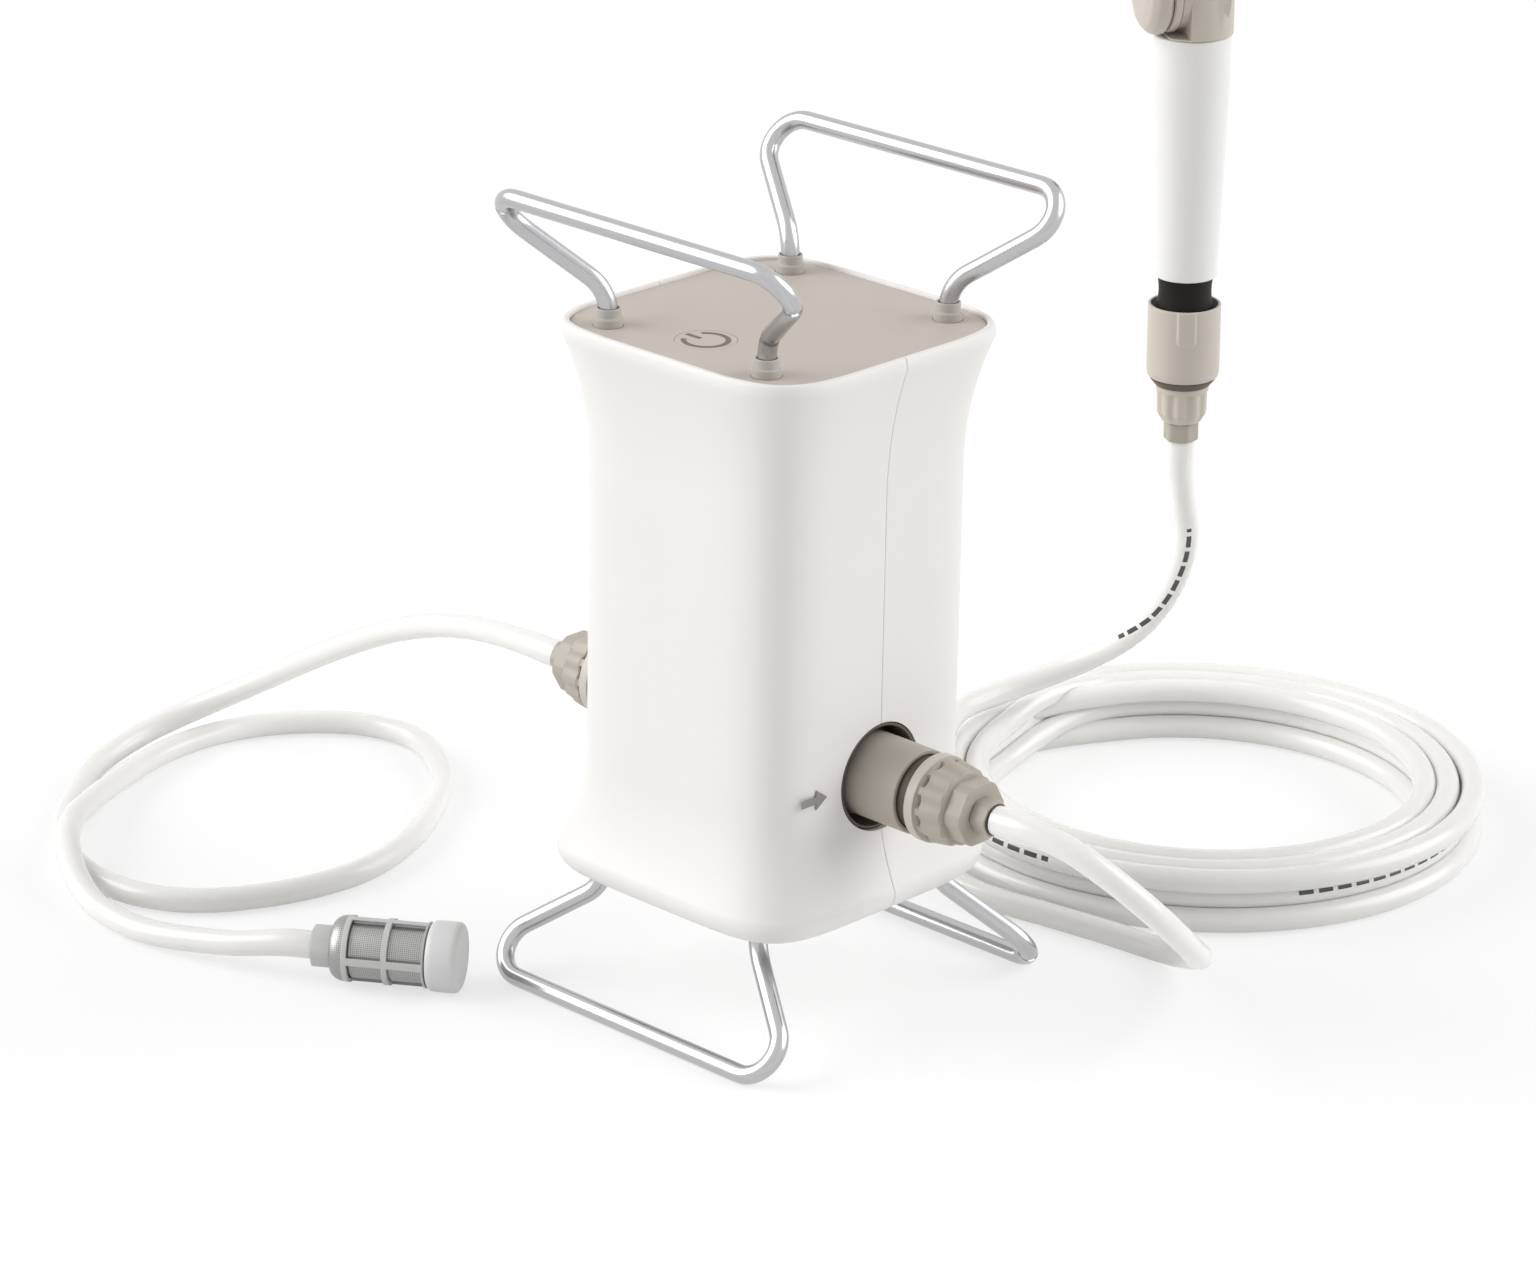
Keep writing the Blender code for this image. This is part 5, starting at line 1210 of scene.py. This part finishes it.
def nozzles(name, rings, height):
    """Small cones in rings on the face: 6 n of them on ring n, each from four circles."""
    across, over, axis = axis_directions(SPRAY)
    ring, share = np.array([(0, 0)] + [(n, k / (6 * n)) for n in range(1, rings + 1)
                                       for k in range(6 * n)]).T
    places = NOZZLE_STEP * np.stack((ring * np.cos(2 * np.pi * share),
                                     ring * np.sin(2 * np.pi * share)), axis=1)
    a = np.linspace(0, 2 * np.pi, 12, endpoint=False)
    profile = np.array(((0.0015, -0.0004), (0.0014, 0.0), (0.0010, height), (0.0005, height)))
    circle = np.stack((np.cos(a), np.sin(a)), axis=1)
    flat = places[:, None, None, :] + profile[None, :, None, :1] * circle[None, None]
    points = (in_frame(HEAD_CENTRE) + flat[..., :1] * across + flat[..., 1:] * over
              + (0.0104 + profile[None, :, None, 1:]) * axis)
    index = np.arange(48).reshape(4, 12)
    ring_on = np.roll(index, -1, axis=1)
    quads = np.stack((index[:-1], ring_on[:-1], ring_on[1:], index[1:]), axis=2).reshape(-1, 4)
    faces = [[v + 48 * n for v in face] for n in range(len(places))
             for face in quads.tolist() + [index[0, ::-1].tolist(), index[3].tolist()]]
    mesh = bpy.data.meshes.new(name)
    mesh.from_pydata(points.reshape(-1, 3).tolist(), [], faces)
    return finished_piece(name, mesh, RUBBER_GREY)


dress(nozzles("head_nozzles", 4, 0.0011), "sprayer", "rubber_black")
print("spray head faces", np.round(SPRAY, 2))

# %% [markdown]
# ## The charging flap and the hidden parts
# A soft flap closes the charging socket at the back. The pump, motor, cells and board lie
# inside the body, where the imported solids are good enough, so they only get a finish.

# %% Flap and hidden parts
flap_turn = np.linspace(0, 2 * np.pi, 64, endpoint=False)
flap_x = 0.0100 * np.sign(np.cos(flap_turn)) * np.abs(np.cos(flap_turn)) ** 0.22
flap_z = 0.0060 * np.sign(np.sin(flap_turn)) * np.abs(np.sin(flap_turn)) ** 0.36
flap_rows = np.array(((0.0613, 0.97), (0.0615, 1.0), (0.0625, 1.0), (0.0628, 0.96)))
flap_grid = np.stack((flap_rows[:, 1:] * flap_x, np.repeat(flap_rows[:, :1], 64, axis=1),
                      CHARGE_Z + flap_rows[:, 1:] * flap_z), axis=2)
flap = piece_from_grid("charge_cover", in_frame(flap_grid), RUBBER_GREY)
dress(flap, "flap", "rubber_black", "charge_flap")
HIDDEN = {
    "charge_socket": PLAIN_STEEL, "pump_housing": MECHANISM_GREY, "pump_cover": MECHANISM_GREY,
    "impeller": MECHANISM_GREY, "motor_shaft": PLAIN_STEEL, "motor_can": MECHANISM_GREY,
    "outlet_pipe": RUBBER_BLACK, "inlet_pipe": RUBBER_BLACK, "bulkhead": MECHANISM_GREY,
    "tie_screw_1": PLAIN_STEEL, "tie_screw_2": PLAIN_STEEL, "battery_tray": MECHANISM_GREY,
    "control_board": BOARD_GREEN,
    **{f"battery_cell_{number}": CELL_WRAP for number in range(1, 5)}}
for name, finish in HIDDEN.items():
    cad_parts[name].data.materials.clear()
    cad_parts[name].data.materials.append(finish)
print("hidden parts:", len(HIDDEN))

# %% [markdown]
# ## The hoses are free cords
# Both hoses are soft and lie where they were put. The outlet hose comes back to the handset,
# and the suction hose ends at the strainer.

# %% Cord facts
print("both hoses lie where they were put")

# %% [markdown]
# ## Floor and light
# The photograph has a white ground and soft light from both sides, so that the corner that
# faces the camera is the greyest part of the body. The floor is plain and keeps a shadow.

# %% Floor
FLOOR_GLOW = 0.66
FLOOR_SEEN_COLOUR = (0.36, 0.36, 0.36, 1)


def seen_directly(tree):
    """1 for rays that come from the camera or from a shiny surface, otherwise 0."""
    path = node(tree, "LightPath").outputs
    return math_value(tree, "MAXIMUM", path["Is Camera Ray"], path["Is Glossy Ray"])


def floor_material():
    """Plain paper that adds its own white where it is seen directly, and keeps the shadow."""
    made, tree, shader = new_finish("floor_paper")
    seen = seen_directly(tree)
    position = node(tree, "TexCoord").outputs["Object"]
    soft = placed_group(tree, tone, {"Place": position, "Colour": (0.85, 0.85, 0.85, 1),
                                     "Shade": (0.84, 0.84, 0.84, 1)})
    glow = node(tree, "MapRange", {"Value": seen, "To Max": FLOOR_GLOW})
    feed(tree, shader, {
        "Base Color": mixed_colour(tree, seen, soft.outputs["Colour"], FLOOR_SEEN_COLOUR),
        "Emission Strength": glow.outputs["Result"], "Emission Color": (1, 1, 1, 1),
        "Roughness": 0.95, "Specular IOR Level": 0.0})
    return made


floor_mesh = bpy.data.meshes.new("floor")
floor_mesh.from_pydata([(-9, -9, 0), (9, -9, 0), (9, 9, 0), (-9, 9, 0)], [], [(0, 1, 2, 3)])
floor_mesh.materials.append(floor_material())
floor = bpy.data.objects.new("floor", floor_mesh)
bpy.context.scene.collection.objects.link(floor)


# %% Lights and sky
def sun(name, strength, azimuth, elevation, size):
    """A wide, far lamp: azimuth turns from -Y towards +X, elevation is above the floor."""
    data = bpy.data.lights.new(name, "SUN")
    data.energy = strength
    data.angle = size
    lamp = bpy.data.objects.new(name, data)
    lamp.rotation_euler = (math.radians(90 - elevation), 0, math.radians(azimuth))
    bpy.context.scene.collection.objects.link(lamp)
    return lamp


SKY_LIGHT = 0.40
sun("left_softbox", 2.15, -45, 30, 0.9)
sun("right_softbox", 1.65, 135, 30, 0.9)

world = bpy.data.worlds.new("studio")
bpy.context.scene.world = world
world.use_nodes = True
sky = world.node_tree.nodes["Background"]
sky.inputs["Color"].default_value = (1.0, 1.0, 1.0, 1.0)
strength = node(world.node_tree, "MapRange", {"Value": seen_directly(world.node_tree),
                                              "To Min": SKY_LIGHT, "To Max": 1.0})
feed(world.node_tree, sky, {"Strength": strength.outputs["Result"]})
bpy.context.scene.view_settings.view_transform = "Standard"
print("lights:", [lamp.name for lamp in bpy.data.lights])
